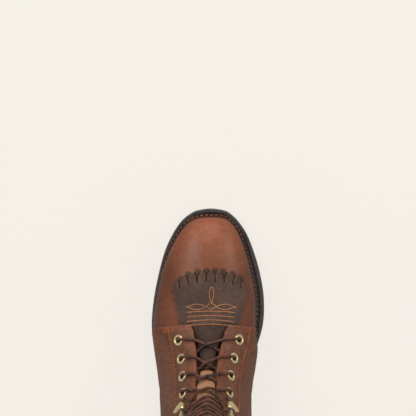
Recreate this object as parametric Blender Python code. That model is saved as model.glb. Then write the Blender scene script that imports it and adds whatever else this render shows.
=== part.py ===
"""A left lace-up boot with a round toe, a fringed kiltie over the vamp and a low block heel.

The toe points along -Y, the outer side of the foot is +X and the floor is Z = 0.
The origin is the centre of the heel's ground face. Lengths along the foot are written
as stations: the distance forward of the back of the sole. The upper is a skin round the
last: a row runs from toe to collar, and a run is the signed distance round from the ridge.
"""

import functools
import math

import bpy
from mathutils import Matrix, Vector

# Sole and last
SOLE_LENGTH = 0.305
BALL_WIDTH = 0.112
TOE_SPRING = 0.012
HEEL_HEIGHT = 0.026
HEEL_LENGTH = 0.068
HEEL_TAPER = 0.0022
TOP_LIFT_THICKNESS = 0.006
OUTSOLE_THICKNESS = 0.0062
OUTSOLE_ROUND = 0.0012
WELT_THICKNESS = 0.0032
WELT_SETBACK = 0.0021
WELT_TUCK = 0.0042
RIM_WIDTH = 0.0090
INSOLE_THICKNESS = 0.003

# Upper
ANKLE_HEIGHT = 0.118
SHAFT_HEIGHT = 0.191
UPPER_WALL = 0.002
QUARTER_STEP = 0.0009
STAY_STEP = 0.0008
STAY_WIDTH = 0.0330
THROAT_WIDTH = 0.0335
THROAT_CORNER = 0.0030
LACING_GAP = 0.0212
COLLAR_GAP = 0.045

# Tongue and kiltie
TONGUE_THICKNESS = 0.002
TONGUE_WIDTH = 0.060
TONGUE_TOP_WIDTH = 0.076
TONGUE_TUCK = 0.010
TONGUE_RISE = 0.011
KILTIE_THICKNESS = 0.0015
KILTIE_LENGTH = 0.042
KILTIE_FRONT_WIDTH = 0.0778
KILTIE_BACK_WIDTH = 0.0604
TAIL_LENGTH = 0.045
TAIL_DIVE = 0.027
FRINGE_LENGTH = 0.011
FRINGE_FINGERS = 9
FRINGE_SLIT = 0.0010
FRINGE_BOW = 0.22

# Laces and hardware
LACE_DIAMETER = 0.0026
EYELET_FLANGE = 0.0107
EYELET_BORE = 0.0054
EYELET_SHEET = 0.0006
EYELET_CROWN = 0.0010
EYELET_PAIRS = 4
EYELET_SIDES = 10
HOOK_PAIRS = 6
# Down the line of the lacing: from the seam to the first eyelet, and from the top hook to the collar
FIRST_EYELET = 0.0165
TOP_HOOK_DROP = 0.0100
EYELET_INSET = 0.0170
HOOK_WIDTH = 0.0080
HOOK_REACH = 0.0130
HOOK_MOUTH = 0.0042
HOOK_SHEET = 0.0011

# Running distance between pieces that meet, and how far a flat piece stands off a curve
GAP = 0.0003
SEAT = 0.0006

# Outline of the outsole. Stations are shares of SOLE_LENGTH, and the outer and inner edges
# shares of half of BALL_WIDTH. Rims are shares of RIM_WIDTH: how far the upper stands inside.
OUTLINE_COLUMNS = ("station", "outer", "inner", "outer_rim", "inner_rim")
OUTLINE = (
    (1.0000, -0.050, -0.050, 1.00, 1.00),
    (0.9945, 0.165, -0.265, 1.00, 1.00),
    (0.9853, 0.286, -0.376, 0.98, 0.98),
    (0.9607, 0.452, -0.517, 0.92, 1.00),
    (0.9180, 0.612, -0.674, 0.88, 1.13),
    (0.8590, 0.760, -0.804, 0.75, 1.25),
    (0.7869, 0.869, -0.919, 0.68, 1.31),
    (0.7049, 0.958, -0.991, 0.62, 1.35),
    (0.6230, 1.000, -0.982, 0.52, 1.32),
    (0.5508, 0.973, -0.884, 0.46, 0.90),
    (0.4590, 0.875, -0.716, 0.44, 0.50),
    (0.3672, 0.769, -0.618, 0.42, 0.44),
    (0.2754, 0.690, -0.612, 0.42, 0.42),
    (0.1803, 0.664, -0.652, 0.42, 0.42),
    (0.0918, 0.624, -0.620, 0.42, 0.42),
    (0.0328, 0.464, -0.464, 0.42, 0.42),
    (0.0072, 0.250, -0.250, 0.42, 0.42),
    (0.0000, 0.000, 0.000, 0.42, 0.42),
)
# Stations where the sole's ball begins and ends, and the centre of its heel
BALL_BACK_SHARE = 0.560
BALL_FRONT_SHARE = 0.790
HEEL_CENTRE_SHARE = 0.110

# Sections of the upper from the toe to the back of the heel. A section is the plane that
# holds a ridge point and a bottom point. bottom and ridge: shares of the feather line's
# length from its back. lift: share of ANKLE_HEIGHT above the feather line. centre, outer and
# inner: shares of half of BALL_WIDTH. belly: depth of the widest point as a share of the
# section's depth. crown: exponent of the arch above it, where 2 is an ellipse. heel: how far
# the arch below it follows the feather line's plan round the heel in place of an ellipse.
FOOT_COLUMNS = ("bottom", "ridge", "lift", "centre", "outer", "inner", "belly", "crown", "heel")
FOOT = (
    (1.000, 1.0000, 0.000, -0.050, -0.050, -0.050, 0.50, 2.0, 0.0),
    (0.997, 1.0050, 0.052, -0.050, 0.110, -0.210, 0.50, 2.1, 0.0),
    (0.987, 1.0040, 0.110, -0.050, 0.240, -0.325, 0.52, 2.2, 0.0),
    (0.970, 0.9950, 0.170, -0.050, 0.362, -0.415, 0.54, 2.2, 0.0),
    (0.946, 0.9770, 0.228, -0.050, 0.460, -0.488, 0.56, 2.2, 0.0),
    (0.912, 0.9420, 0.284, -0.050, 0.576, -0.548, 0.58, 2.2, 0.0),
    (0.866, 0.8910, 0.338, -0.048, 0.696, -0.602, 0.60, 2.2, 0.0),
    (0.812, 0.8300, 0.386, -0.046, 0.798, -0.672, 0.60, 2.1, 0.0),
    (0.752, 0.7652, 0.430, -0.042, 0.872, -0.728, 0.60, 2.05, 0.0),
    (0.680, 0.7152, 0.482, -0.036, 0.930, -0.754, 0.61, 1.95, 0.0),
    (0.606, 0.6714, 0.540, -0.028, 0.958, -0.784, 0.63, 1.85, 0.0),
    (0.540, 0.6298, 0.592, -0.014, 0.932, -0.854, 0.66, 1.7, 0.0),
    (0.474, 0.5901, 0.638, 0.004, 0.884, -0.822, 0.70, 1.55, 0.0),
    (0.408, 0.5525, 0.676, 0.020, 0.842, -0.766, 0.69, 1.48, 0.0),
    (0.340, 0.5192, 0.714, 0.028, 0.818, -0.740, 0.69, 1.45, 0.0),
    (0.272, 0.4925, 0.754, 0.032, 0.802, -0.742, 0.675, 1.45, 0.0),
    (0.206, 0.4745, 0.806, 0.034, 0.784, -0.740, 0.665, 1.45, 0.1),
    (0.144, 0.4645, 0.864, 0.036, 0.768, -0.736, 0.66, 1.46, 0.3),
    (0.090, 0.4595, 0.920, 0.036, 0.754, -0.734, 0.66, 1.48, 0.6),
    (0.046, 0.4568, 0.962, 0.036, 0.744, -0.731, 0.65, 1.5, 0.85),
    (0.014, 0.4554, 0.988, 0.036, 0.741, -0.730, 0.64, 1.5, 1.0),
    (0.000, 0.4549, 1.000, 0.036, 0.740, -0.729, 0.63, 1.5, 1.0),
)
# Sections of the shaft, whose bottom points climb the back of the heel. front and back:
# shares of the feather line's length. front_rise: share of SHAFT_HEIGHT less ANKLE_HEIGHT.
# back_rise: share of SHAFT_HEIGHT above the heel seat.
SHAFT_COLUMNS = (
    "back", "back_rise", "front", "front_rise", "centre", "outer", "inner", "belly", "crown", "heel",
)
SHAFT = (
    (-0.0106, 0.085, 0.4545, 0.10, 0.036, 0.739, -0.728, 0.62, 1.5, 0.95),
    (-0.0080, 0.180, 0.4542, 0.21, 0.036, 0.738, -0.727, 0.61, 1.5, 0.8),
    (0.0040, 0.290, 0.4540, 0.33, 0.036, 0.738, -0.726, 0.60, 1.5, 0.6),
    (0.0164, 0.410, 0.4538, 0.46, 0.036, 0.739, -0.725, 0.59, 1.5, 0.4),
    (0.0225, 0.540, 0.4537, 0.60, 0.036, 0.742, -0.725, 0.58, 1.52, 0.2),
    (0.0198, 0.690, 0.4537, 0.74, 0.036, 0.747, -0.726, 0.57, 1.54, 0.1),
    (0.0113, 0.850, 0.4540, 0.88, 0.036, 0.753, -0.729, 0.56, 1.57, 0.0),
    (0.0027, 1.000, 0.4545, 1.00, 0.036, 0.760, -0.732, 0.55, 1.6, 0.0),
)
# Rows over which the foot's sections flow into the shaft's, and how far from the heel's row
ANKLE_BLEND = 1.0
ANKLE_FADE = 5.0
SEAM_ROW = 10.0
ANKLE_ROW = 14.5
THROAT_ROWS = 4.0
HEEL_ROW = len(FOOT) - 1
COLLAR_ROW = len(FOOT) + len(SHAFT) - 1

LEATHER = (0.19, 0.075, 0.042, 1.0)
DARK_LEATHER = (0.075, 0.045, 0.035, 1.0)
TAN_LEATHER = (0.35, 0.21, 0.13, 1.0)
RUBBER = (0.035, 0.032, 0.032, 1.0)
BRASS = (0.62, 0.52, 0.30, 1.0)
LACE_BROWN = (0.05, 0.022, 0.015, 1.0)

FEATHER_STEPS = 8
OUTLINE_STEPS = 3
ARCH_STEPS = 22
BACK_STEPS = 18


def catmull(a, b, c, d, t):
    """A smooth value between b and c, with a before and d after."""
    return b + 0.5 * t * (c - a + t * (2 * a - 5 * b + 4 * c - d + t * (3 * (b - c) + d - a)))


def smooth_row(rows, t):
    """The table row at a fractional index, and straight on past the last one."""
    last = len(rows) - 1
    if t >= last:
        return [q + (t - last) * (q - p) for p, q in zip(rows[last - 1], rows[last])]
    k = max(0, int(t))
    near = [rows[min(max(k + n, 0), last)] for n in (-1, 0, 1, 2)]
    return [catmull(*four, t - k) for four in zip(*near)]


def ease(t):
    """Runs from 0 to 1 with level ends."""
    t = min(max(t, 0.0), 1.0)
    return t * t * (3 - 2 * t)


def place(x, station, z):
    """A point of the boot in the part's own frame."""
    return Vector((x, HEEL_CENTRE_SHARE * SOLE_LENGTH - station, z))


def tread_height(station):
    """Height of the outsole's lower face: heel seat, arch, flat ball and toe spring."""
    back = BALL_BACK_SHARE * SOLE_LENGTH
    if station < back:
        return HEEL_HEIGHT * (1 - ease((station - HEEL_LENGTH) / (back - HEEL_LENGTH)))
    rise = max(0.0, (station / SOLE_LENGTH - BALL_FRONT_SHARE) / (1 - BALL_FRONT_SHARE))
    return TOE_SPRING * rise**1.8


def feather_height(station):
    """Height of the welt's top, on which the upper stands."""
    return tread_height(station) + OUTSOLE_THICKNESS + GAP + WELT_THICKNESS


def outline(inset=0.0, rims=0.0, steps=OUTLINE_STEPS):
    """The sole's outline as a loop of (x, station): down the outer side and back up the inner."""
    table = [dict(zip(OUTLINE_COLUMNS, row)) for row in OUTLINE]
    half = BALL_WIDTH / 2
    outer = [(r["outer"] * half, r["station"] * SOLE_LENGTH, r["outer_rim"]) for r in table]
    inner = [(r["inner"] * half, r["station"] * SOLE_LENGTH, r["inner_rim"]) for r in table]
    loop = outer + inner[-2:0:-1]
    count = len(loop)
    points = []
    for k in range(count):
        four = [loop[(k + n) % count] for n in (-1, 0, 1, 2)]
        for step in range(steps):
            points.append([catmull(*c, step / steps) for c in zip(*four)])
    moved = []
    for k, (x, station, rim) in enumerate(points):
        before, after = points[k - 1], points[(k + 1) % len(points)]
        along = Vector((after[0] - before[0], after[1] - before[1])).normalized()
        depth = inset + rims * rim
        moved.append((x + along.y * depth, station - along.x * depth))
    return moved


def reach_at(chain, station):
    """x of a chain, which runs from toe to heel, at a station."""
    for (x0, s0), (x1, s1) in zip(chain, chain[1:]):
        if s1 <= station <= s0:
            return x0 + (x1 - x0) * (s0 - station) / max(s0 - s1, 1e-9)
    return chain[0][0] if station > chain[0][1] else chain[-1][0]


FEATHER = outline(rims=RIM_WIDTH, steps=FEATHER_STEPS)
FEATHER_OUTER = FEATHER[: len(FEATHER) // 2 + 1]
FEATHER_INNER = [FEATHER[0]] + FEATHER[: len(FEATHER) // 2 - 1 : -1]
FEATHER_TIP = FEATHER_OUTER[0][1]
FEATHER_BACK = FEATHER_OUTER[-1][1]
FEATHER_LENGTH = FEATHER_TIP - FEATHER_BACK
SEAT_HEIGHT = feather_height(FEATHER_BACK) + SEAT


def section_table():
    """Every section as lengths: bottom and ridge points, then centre, widths and shape."""
    rows = []
    half = BALL_WIDTH / 2
    for values in FOOT:
        r = dict(zip(FOOT_COLUMNS, values))
        bottom = FEATHER_BACK + r["bottom"] * FEATHER_LENGTH
        height = feather_height(bottom) + SEAT
        ridge = (FEATHER_BACK + r["ridge"] * FEATHER_LENGTH, height + r["lift"] * ANKLE_HEIGHT)
        widths = [r[name] * half for name in ("centre", "outer", "inner")]
        rows.append((bottom, height, *ridge, *widths, r["belly"], r["crown"], r["heel"]))
    for values in SHAFT:
        r = dict(zip(SHAFT_COLUMNS, values))
        climb = ANKLE_HEIGHT + r["front_rise"] * (SHAFT_HEIGHT - ANKLE_HEIGHT)
        bottom = (FEATHER_BACK + r["back"] * FEATHER_LENGTH, SEAT_HEIGHT + r["back_rise"] * SHAFT_HEIGHT)
        ridge = (FEATHER_BACK + r["front"] * FEATHER_LENGTH, SEAT_HEIGHT + climb)
        widths = [r[name] * half for name in ("centre", "outer", "inner")]
        rows.append((*bottom, *ridge, *widths, r["belly"], r["crown"], r["heel"]))
    return rows


SECTIONS = section_table()


def half_arch(row, side):
    """One half of a section as (run, point) pairs from the ridge down to the bottom."""
    low, height, station, z, centre, outer, inner, belly, crown, heel = smooth_row(SECTIONS, row)
    sign = 1 if side > 0 else -1
    base, foot = FEATHER_OUTER[-1][0], 0.0
    if row <= HEEL_ROW:
        low = min(max(low, FEATHER_BACK), FEATHER_TIP)
        height = feather_height(low) + SEAT
        feet = (reach_at(FEATHER_OUTER, low), reach_at(FEATHER_INNER, low))
        base = (feet[0] + feet[1]) / 2
        foot = (feet[0] - feet[1]) / 2
        centre = base + (centre - base) * min(row, 1.0)
    middle = centre + (base - centre) * belly
    widest = sign * ((outer if side > 0 else inner) - middle)
    width = max(widest, foot * 1.02, 1e-9) if row > 0 else 1e-9
    turn = math.acos(min(foot / width, 1.0))
    shape = []
    for k in range(ARCH_STEPS + 1):
        angle = math.pi / 2 * k / ARCH_STEPS
        shape.append((width * math.sin(angle) ** (2 / crown), belly * (1 - math.cos(angle) ** (2 / crown))))
    chain = FEATHER_OUTER if side > 0 else FEATHER_INNER
    shift = low - FEATHER_BACK if row > HEEL_ROW else 0.0

    def plan(down):
        there = reach_at(chain, station + (low - station) * down - shift)
        return sign * (there - centre - (base - centre) * down)

    flare = width - plan(belly)
    for k in range(1, BACK_STEPS + 1):
        angle = turn * k / BACK_STEPS
        share = math.sin(angle) / math.sin(turn) if turn > 1e-4 else k / BACK_STEPS
        down = belly + (1 - belly) * share
        follow = plan(down) + flare * math.cos(math.pi / 2 * share)
        shape.append((width * math.cos(angle) * (1 - heel) + follow * heel, down))
    points = []
    run = 0.0
    for x, down in shape:
        middle = centre + (base - centre) * down
        spot = Vector((middle + sign * x, station + (low - station) * down, z + (height - z) * down))
        if points:
            run += (spot - points[-1][1]).length
        points.append((run, spot))
    return points


ARCHES = {}


def arch(row, side):
    """half_arch with the turn from foot to shaft rounded off, worked out once for each row."""
    key = (round(row, 5), side > 0)
    if key not in ARCHES:
        ARCHES[key] = rounded_arch(row, side)
    return ARCHES[key]


def rounded_arch(row, side):
    """half_arch averaged with the sections beside it near the heel's row, but for its bottom."""
    plain = half_arch(row, side)
    reach = ANKLE_BLEND * ease(1 - abs(row - HEEL_ROW) / ANKLE_FADE)
    if reach <= 0:
        return plain
    near = {n: half_arch(row + reach * n, side) for n in (-2, -1, 1, 2)}
    points = []
    run = 0.0
    for k, (_, spot) in enumerate(plain):
        mean = spot * 6 + (near[-1][k][1] + near[1][k][1]) * 4 + near[-2][k][1] + near[2][k][1]
        hold = (k / (len(plain) - 1)) ** 4
        spot = (mean / 16).lerp(spot, hold)
        if points:
            run += (spot - points[-1][1]).length
        points.append((run, spot))
    return points


def half_girth(row, side):
    """Length of a section's half from its ridge to its bottom."""
    return arch(row, side)[-1][0]


def skin_point(row, run):
    """Point of the last at a row and run, as x, station and height."""
    points = arch(row, run)
    distance = min(abs(run), points[-1][0])
    for (r0, p0), (r1, p1) in zip(points, points[1:]):
        if distance <= r1:
            return p0.lerp(p1, (distance - r0) / max(r1 - r0, 1e-9))
    return points[-1][1].copy()


def skin_normal(row, run):
    """Outward direction of the last there."""
    turn = 0.04
    reach = half_girth(row, run)
    if row < turn:
        return Vector((0, 1, 0))
    if row >= HEEL_ROW and abs(run) > reach - 1e-5:
        above, below = arch(row + turn, run)[-1][1], arch(max(row - turn, HEEL_ROW), run)[-1][1]
        return Vector((0, below.z - above.z, above.y - below.y)).normalized()
    step = 0.0006
    low, high = max(run - step, -half_girth(row, -1)), min(run + step, half_girth(row, 1))
    share = run / reach
    back, front = row - turn, row + turn
    if row <= HEEL_ROW:
        front = min(front, HEEL_ROW)
    ahead = skin_point(front, share * half_girth(front, run))
    along = ahead - skin_point(back, share * half_girth(back, run))
    across = skin_point(row, high) - skin_point(row, low)
    return along.cross(across).normalized()


def skin(row, run, offset=0.0):
    """A point that stands off the last by an offset, in the part's frame."""
    return place(*(skin_point(row, run) + skin_normal(row, run) * offset))


def throat_half(row):
    """Half the opening between the facings, measured round the skin."""
    narrowing = 1 - (1 - min(max((row - SEAM_ROW) / THROAT_ROWS, 0.0), 1.0)) ** 2
    opening = (COLLAR_GAP - LACING_GAP) * min(max((row - ANKLE_ROW) / (COLLAR_ROW - ANKLE_ROW), 0.0), 1.0)
    corner = THROAT_CORNER * max(0.0, 1 - max(row - SEAM_ROW, 0.0) / 0.45) ** 2
    return (THROAT_WIDTH + (LACING_GAP - THROAT_WIDTH) * narrowing + opening) / 2 + corner


def rows_along(distances, run_of, start, forward=True):
    """Rows met at increasing distances along the skin from a row, at the run given for each."""
    step = 0.02 if forward else -0.02
    row, gone, last, found = start, 0.0, 1.0, []
    spot = skin_point(row, run_of(row))
    for distance in distances:
        while gone < distance:
            row += step
            onward = skin_point(row, run_of(row))
            last = (onward - spot).length
            gone += last
            spot = onward
        found.append(row - step * (gone - distance) / last)
    return found


def material(name, colour, roughness, metallic=0.0):
    """A plain material of one colour."""
    made = bpy.data.materials.new(name)
    made.use_nodes = True
    shader = made.node_tree.nodes["Principled BSDF"]
    shader.inputs["Base Color"].default_value = colour
    shader.inputs["Roughness"].default_value = roughness
    shader.inputs["Metallic"].default_value = metallic
    made.diffuse_color = colour
    return made


def add_object(name, data, made):
    """Puts mesh or curve data into the scene as one node."""
    data.materials.append(made)
    obj = bpy.data.objects.new(name, data)
    bpy.context.scene.collection.objects.link(obj)
    return obj


def mesh_of(name, points, faces):
    """A mesh whose equal points are one, with empty faces left out and faces turned outward."""
    index, merged = {}, []
    of = []
    for p in points:
        key = tuple(round(c, 6) for c in p)
        if key not in index:
            index[key] = len(merged)
            merged.append(p)
        of.append(index[key])
    kept = []
    for face in faces:
        corners = []
        for k in face:
            if of[k] not in corners:
                corners.append(of[k])
        if len(corners) > 2:
            kept.append(corners)
    mesh = bpy.data.meshes.new(name)
    mesh.from_pydata([tuple(p) for p in merged], [], kept)
    turn_outward(mesh)
    mesh.set_sharp_from_angle(angle=math.radians(35))
    return mesh


def turn_outward(mesh):
    """Flips a closed mesh whose volume comes out negative."""
    mesh.calc_loop_triangles()
    volume = 0.0
    for t in mesh.loop_triangles:
        a, b, c = (mesh.vertices[k].co for k in t.vertices)
        volume += a.dot(b.cross(c))
    if volume < 0:
        mesh.flip_normals()


def shell(outer, inner, cells):
    """Points and faces of a wall between two sheets of a grid, closed round every free edge."""
    width = len(outer[0])
    points = [p for line in outer for p in line] + [p for line in inner for p in line]
    under = len(outer) * width
    index = {}
    same = []
    for k, p in enumerate(points[:under]):
        same.append(index.setdefault(tuple(round(c, 6) for c in p), k))
    faces, edges = [], {}
    for i, j in cells:
        a, b = i * width + j, (i + 1) * width + j
        ring = (a, a + 1, b + 1, b)
        faces.append(ring)
        faces.append(tuple(under + k for k in reversed(ring)))
        for p, q in zip(ring, ring[1:] + ring[:1]):
            if same[p] != same[q]:
                key = (min(same[p], same[q]), max(same[p], same[q]))
                edges.setdefault(key, []).append((p, q))
    for sides in edges.values():
        if len(sides) == 1:
            p, q = sides[0]
            faces.append((q, p, under + p, under + q))
    return points, faces


def lofted(loops, tip):
    """Points and faces of a solid through loops, capped by strips across its first and last."""
    count = len(loops[0])
    points = [p for loop in loops for p in loop]
    faces = []
    for layer in range(len(loops) - 1):
        for k in range(count):
            a, b = layer * count + k, layer * count + (k + 1) % count
            faces.append((a, b, b + count, a + count))
    top = (len(loops) - 1) * count
    for first, turned in ((0, True), (top, False)):
        left, right = (0, count) if tip else (0, count - 1)
        while right - left > 1:
            ring = (first + left, first + left + 1, first + right - 1, first + right % count)
            faces.append(tuple(reversed(ring)) if turned else ring)
            left, right = left + 1, right - 1
    return points, faces


def sole_layer(inset, height_of, rims=0.0):
    """The outline at an inset, raised to a height that depends on the station."""
    return [place(x, station, height_of(station)) for x, station in outline(inset, rims)]


def build_outsole():
    """The outsole: flat under the ball, sprung at the toe, lifted over the arch and heel."""
    def bottom(station):
        return tread_height(station)

    def top(station):
        return tread_height(station) + OUTSOLE_THICKNESS

    loops = [
        sole_layer(OUTSOLE_ROUND, bottom),
        sole_layer(0.0, lambda s: bottom(s) + OUTSOLE_ROUND),
        sole_layer(0.0, lambda s: top(s) - OUTSOLE_ROUND),
        sole_layer(OUTSOLE_ROUND, top),
    ]
    add_object("outsole", mesh_of("outsole", *lofted(loops, True)), material("outsole", RUBBER, 0.6))


def build_welt():
    """The welt: a flat strip round the whole sole, from inside its edge to under the upper."""
    def low(station):
        return tread_height(station) + OUTSOLE_THICKNESS + GAP

    outside = (sole_layer(WELT_SETBACK, low), sole_layer(WELT_SETBACK, feather_height))
    inside = (sole_layer(WELT_TUCK, feather_height, RIM_WIDTH), sole_layer(WELT_TUCK, low, RIM_WIDTH))
    loops = outside + inside
    count = len(loops[0])
    points = [p for loop in loops for p in loop]
    faces = []
    for layer in range(4):
        for k in range(count):
            a, b = layer * count + k, layer * count + (k + 1) % count
            c, d = (layer + 1) % 4 * count + (k + 1) % count, (layer + 1) % 4 * count + k
            faces.append((a, b, c, d))
    add_object("welt", mesh_of("welt", points, faces), material("welt", DARK_LEATHER, 0.6))


def build_insole():
    """The insole: lies on the outsole inside the welt."""
    inset = WELT_TUCK + GAP
    low = OUTSOLE_THICKNESS + GAP
    loops = [
        sole_layer(inset, lambda s: tread_height(s) + low, RIM_WIDTH),
        sole_layer(inset, lambda s: tread_height(s) + low + INSOLE_THICKNESS, RIM_WIDTH),
    ]
    add_object("insole", mesh_of("insole", *lofted(loops, True)), material("insole", TAN_LEATHER, 0.7))


def heel_layer(inset, height):
    """The outline behind the heel breast as a loop, from the outer corner to the inner."""
    loop = outline(inset)
    plain = outline()
    kept = [k for k, (x, station) in enumerate(plain) if station < HEEL_LENGTH * 0.97]
    half = len(loop) // 2
    chains = (loop[: half + 1], [loop[0]] + loop[: half - 1 : -1])
    breast = HEEL_LENGTH - inset
    corners = [(reach_at(chain, breast), breast) for chain in chains]
    ring = [corners[0]] + [loop[k] for k in kept] + [corners[1]]
    return [place(x, station, height) for x, station in ring]


def build_heel():
    """The stacked heel block and the rubber top lift under it."""
    taper = HEEL_TAPER / HEEL_HEIGHT
    blocks = (
        ("heel", TOP_LIFT_THICKNESS + GAP, HEEL_HEIGHT - GAP, DARK_LEATHER),
        ("top_lift", 0.0, TOP_LIFT_THICKNESS, RUBBER),
    )
    for name, low, high, colour in blocks:
        loops = [heel_layer(WELT_SETBACK + taper * (HEEL_HEIGHT - z), z) for z in (low, high)]
        add_object(name, mesh_of(name, *lofted(loops, False)), material(name, colour, 0.6))


def upper_rows():
    """Rows of the upper's grid, closer together at the toe, with the seam's row twice."""
    rows = [0.0, 0.4, 1.0, 1.5]
    rows += [float(k) for k in range(2, int(SEAM_ROW) + 1)]
    rows += [SEAM_ROW, SEAM_ROW + 0.22, SEAM_ROW + 0.45]
    rows += [SEAM_ROW + k / 2 for k in range(2, 2 * int(HEEL_ROW - SEAM_ROW) - 6)]
    rows += [HEEL_ROW + k for k in (-3, -2, -1.5, -1, -0.6, -0.3, -0.12, 0, 0.5, 1)]
    rows += [COLLAR_ROW - 1.5 * k for k in (4, 3, 2, 1, 0)]
    return rows


def upper_runs(row, side):
    """Runs of the grid's columns on one side: centre strip, stay and side, the stay's edge twice."""
    reach = half_girth(row, side)
    throat, stay = throat_half(row), throat_half(row) + STAY_WIDTH
    if row < SEAM_ROW:
        share = reach / half_girth(SEAM_ROW, side)
        throat, stay = throat * share, stay * share
    runs = [throat * k / 3 for k in range(3)]
    runs += [throat + (stay - throat) * k / 3 for k in range(4)]
    ways = [(k / 7 + math.sin(math.pi / 2 * k / 7)) / 2 for k in range(8)]
    runs += [stay + (reach - stay) * way for way in ways]
    return runs


def build_upper():
    """Vamp and quarters as one hollow wall, with the quarters and the stays standing proud."""
    rows = upper_rows()
    seam = rows.index(SEAM_ROW)
    outer, inner, cells = [], [], []
    for i, row in enumerate(rows):
        lines = {}
        for side in (1, -1):
            runs = upper_runs(row, side)
            top, low = [], []
            for j, run in enumerate(runs):
                proud = 0.0
                if i > seam:
                    proud = QUARTER_STEP + (STAY_STEP if j <= 6 else 0.0)
                run = min(run, half_girth(row, side)) * side
                top.append(skin(row, run, proud))
                low.append(skin(row, run, -UPPER_WALL))
            if row <= HEEL_ROW:
                low[-1].z = max(low[-1].z, top[-1].z)
            lines[side] = (top, low)
        outer.append(lines[-1][0][::-1] + lines[1][0][1:])
        inner.append(lines[-1][1][::-1] + lines[1][1][1:])
    width = len(outer[0])
    middle = width // 2
    for i in range(len(rows) - 1):
        for j in range(width - 1):
            column = min(abs(j - middle), abs(j + 1 - middle))
            if i <= seam - 1 or column >= 3:
                cells.append((i, j))
    points, faces = shell(outer, inner, cells)
    upper = add_object("upper", mesh_of("upper", points, faces), material("upper", LEATHER, 0.45))
    cut_eyelet_holes(upper)


def stay_run(row, side):
    """Run of the line of eyelets and hooks."""
    return side * (throat_half(row) + EYELET_INSET)


def lacing_rows(side):
    """Rows of the eyelets and then the hooks."""
    pitch = lace_pitch(side)
    distances = [FIRST_EYELET + pitch * k for k in range(EYELET_PAIRS + HOOK_PAIRS)]
    return rows_along(distances, lambda row: stay_run(row, side), SEAM_ROW)


@functools.lru_cache(maxsize=None)
def lace_pitch(side):
    """Distance between neighbours on a stay, from the first eyelet to the hook below the collar."""
    steps = 200
    rows = [SEAM_ROW + (COLLAR_ROW - SEAM_ROW) * k / steps for k in range(steps + 1)]
    spots = [skin_point(row, stay_run(row, side)) for row in rows]
    length = sum((b - a).length for a, b in zip(spots, spots[1:]))
    return (length - FIRST_EYELET - TOP_HOOK_DROP) / (EYELET_PAIRS + HOOK_PAIRS - 1)


def stay_frame(row, side, offset):
    """A frame on the stay: X towards the gap, Y up the boot, Z out of the leather."""
    run = stay_run(row, side)
    at = skin(row, run, offset)
    out = (skin(row, run, offset + 0.001) - at).normalized()
    up = skin(row + 0.2, stay_run(row + 0.2, side)) - skin(row - 0.2, stay_run(row - 0.2, side))
    up = (up - out * up.dot(out)).normalized()
    inward = up.cross(out)
    frame = Matrix((inward, up, out)).transposed().to_4x4()
    frame.translation = at
    return frame


def towards_gap(side):
    """Sign that turns a stay frame's X into the direction of the lacing gap."""
    return -1 if side > 0 else 1


def revolved(profile, sides):
    """Points and faces of a ring with a closed profile of (radius, height)."""
    points, faces = [], []
    for k in range(sides):
        angle = 2 * math.pi * k / sides
        points += [Vector((r * math.cos(angle), r * math.sin(angle), z)) for r, z in profile]
    count = len(profile)
    for k in range(sides):
        for m in range(count):
            a, b = k * count + m, k * count + (m + 1) % count
            c, d = (k + 1) % sides * count + (m + 1) % count, (k + 1) % sides * count + m
            faces.append((a, d, c, b))
    return points, faces


def cut_eyelet_holes(upper):
    """Cuts a hole through both stays for each eyelet's barrel."""
    radius = EYELET_BORE / 2 + EYELET_SHEET + GAP
    depth = 3 * UPPER_WALL + QUARTER_STEP + STAY_STEP
    points, faces = [], []
    for side in (1, -1):
        for row in lacing_rows(side)[:EYELET_PAIRS]:
            frame = stay_frame(row, side, (QUARTER_STEP + STAY_STEP - UPPER_WALL) / 2)
            base = len(points)
            for z in (-depth / 2, depth / 2):
                for k in range(EYELET_SIDES):
                    angle = 2 * math.pi * k / EYELET_SIDES
                    points.append(frame @ Vector((radius * math.cos(angle), radius * math.sin(angle), z)))
            ring = [base + k for k in range(EYELET_SIDES)]
            faces.append(tuple(reversed(ring)))
            faces.append(tuple(k + EYELET_SIDES for k in ring))
            for k in range(EYELET_SIDES):
                a, b = ring[k], ring[(k + 1) % EYELET_SIDES]
                faces.append((a, b, b + EYELET_SIDES, a + EYELET_SIDES))
    mesh = mesh_of("eyelet_cutter", points, faces)
    cutter = add_object("eyelet_cutter", mesh, material("cutter", RUBBER, 1.0))
    cutter.hide_render = True
    cutter.display_type = "WIRE"
    cut = upper.modifiers.new("eyelet holes", "BOOLEAN")
    cut.operation = "DIFFERENCE"
    cut.object = cutter


def build_eyelets():
    """A rolled ring with a barrel in each hole of the stays."""
    bore, outside, flange = EYELET_BORE / 2, EYELET_BORE / 2 + EYELET_SHEET, EYELET_FLANGE / 2
    barrel = UPPER_WALL + QUARTER_STEP + STAY_STEP + SEAT
    profile = (
        (bore, -barrel),
        (outside, -barrel),
        (outside, 0.0),
        (flange, 0.0),
        (flange * 0.92, EYELET_CROWN * 0.6),
        ((flange + bore) / 2, EYELET_CROWN),
        (bore, EYELET_CROWN * 0.5),
    )
    brass = material("eyelet", BRASS, 0.35, 0.9)
    for side, word in ((1, "outer"), (-1, "inner")):
        for k, row in enumerate(lacing_rows(side)[:EYELET_PAIRS]):
            points, faces = revolved(profile, EYELET_SIDES)
            frame = stay_frame(row, side, QUARTER_STEP + STAY_STEP + SEAT)
            name = f"eyelet_{word}_{k + 1}"
            add_object(name, mesh_of(name, [frame @ p for p in points], faces), brass)


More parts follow.
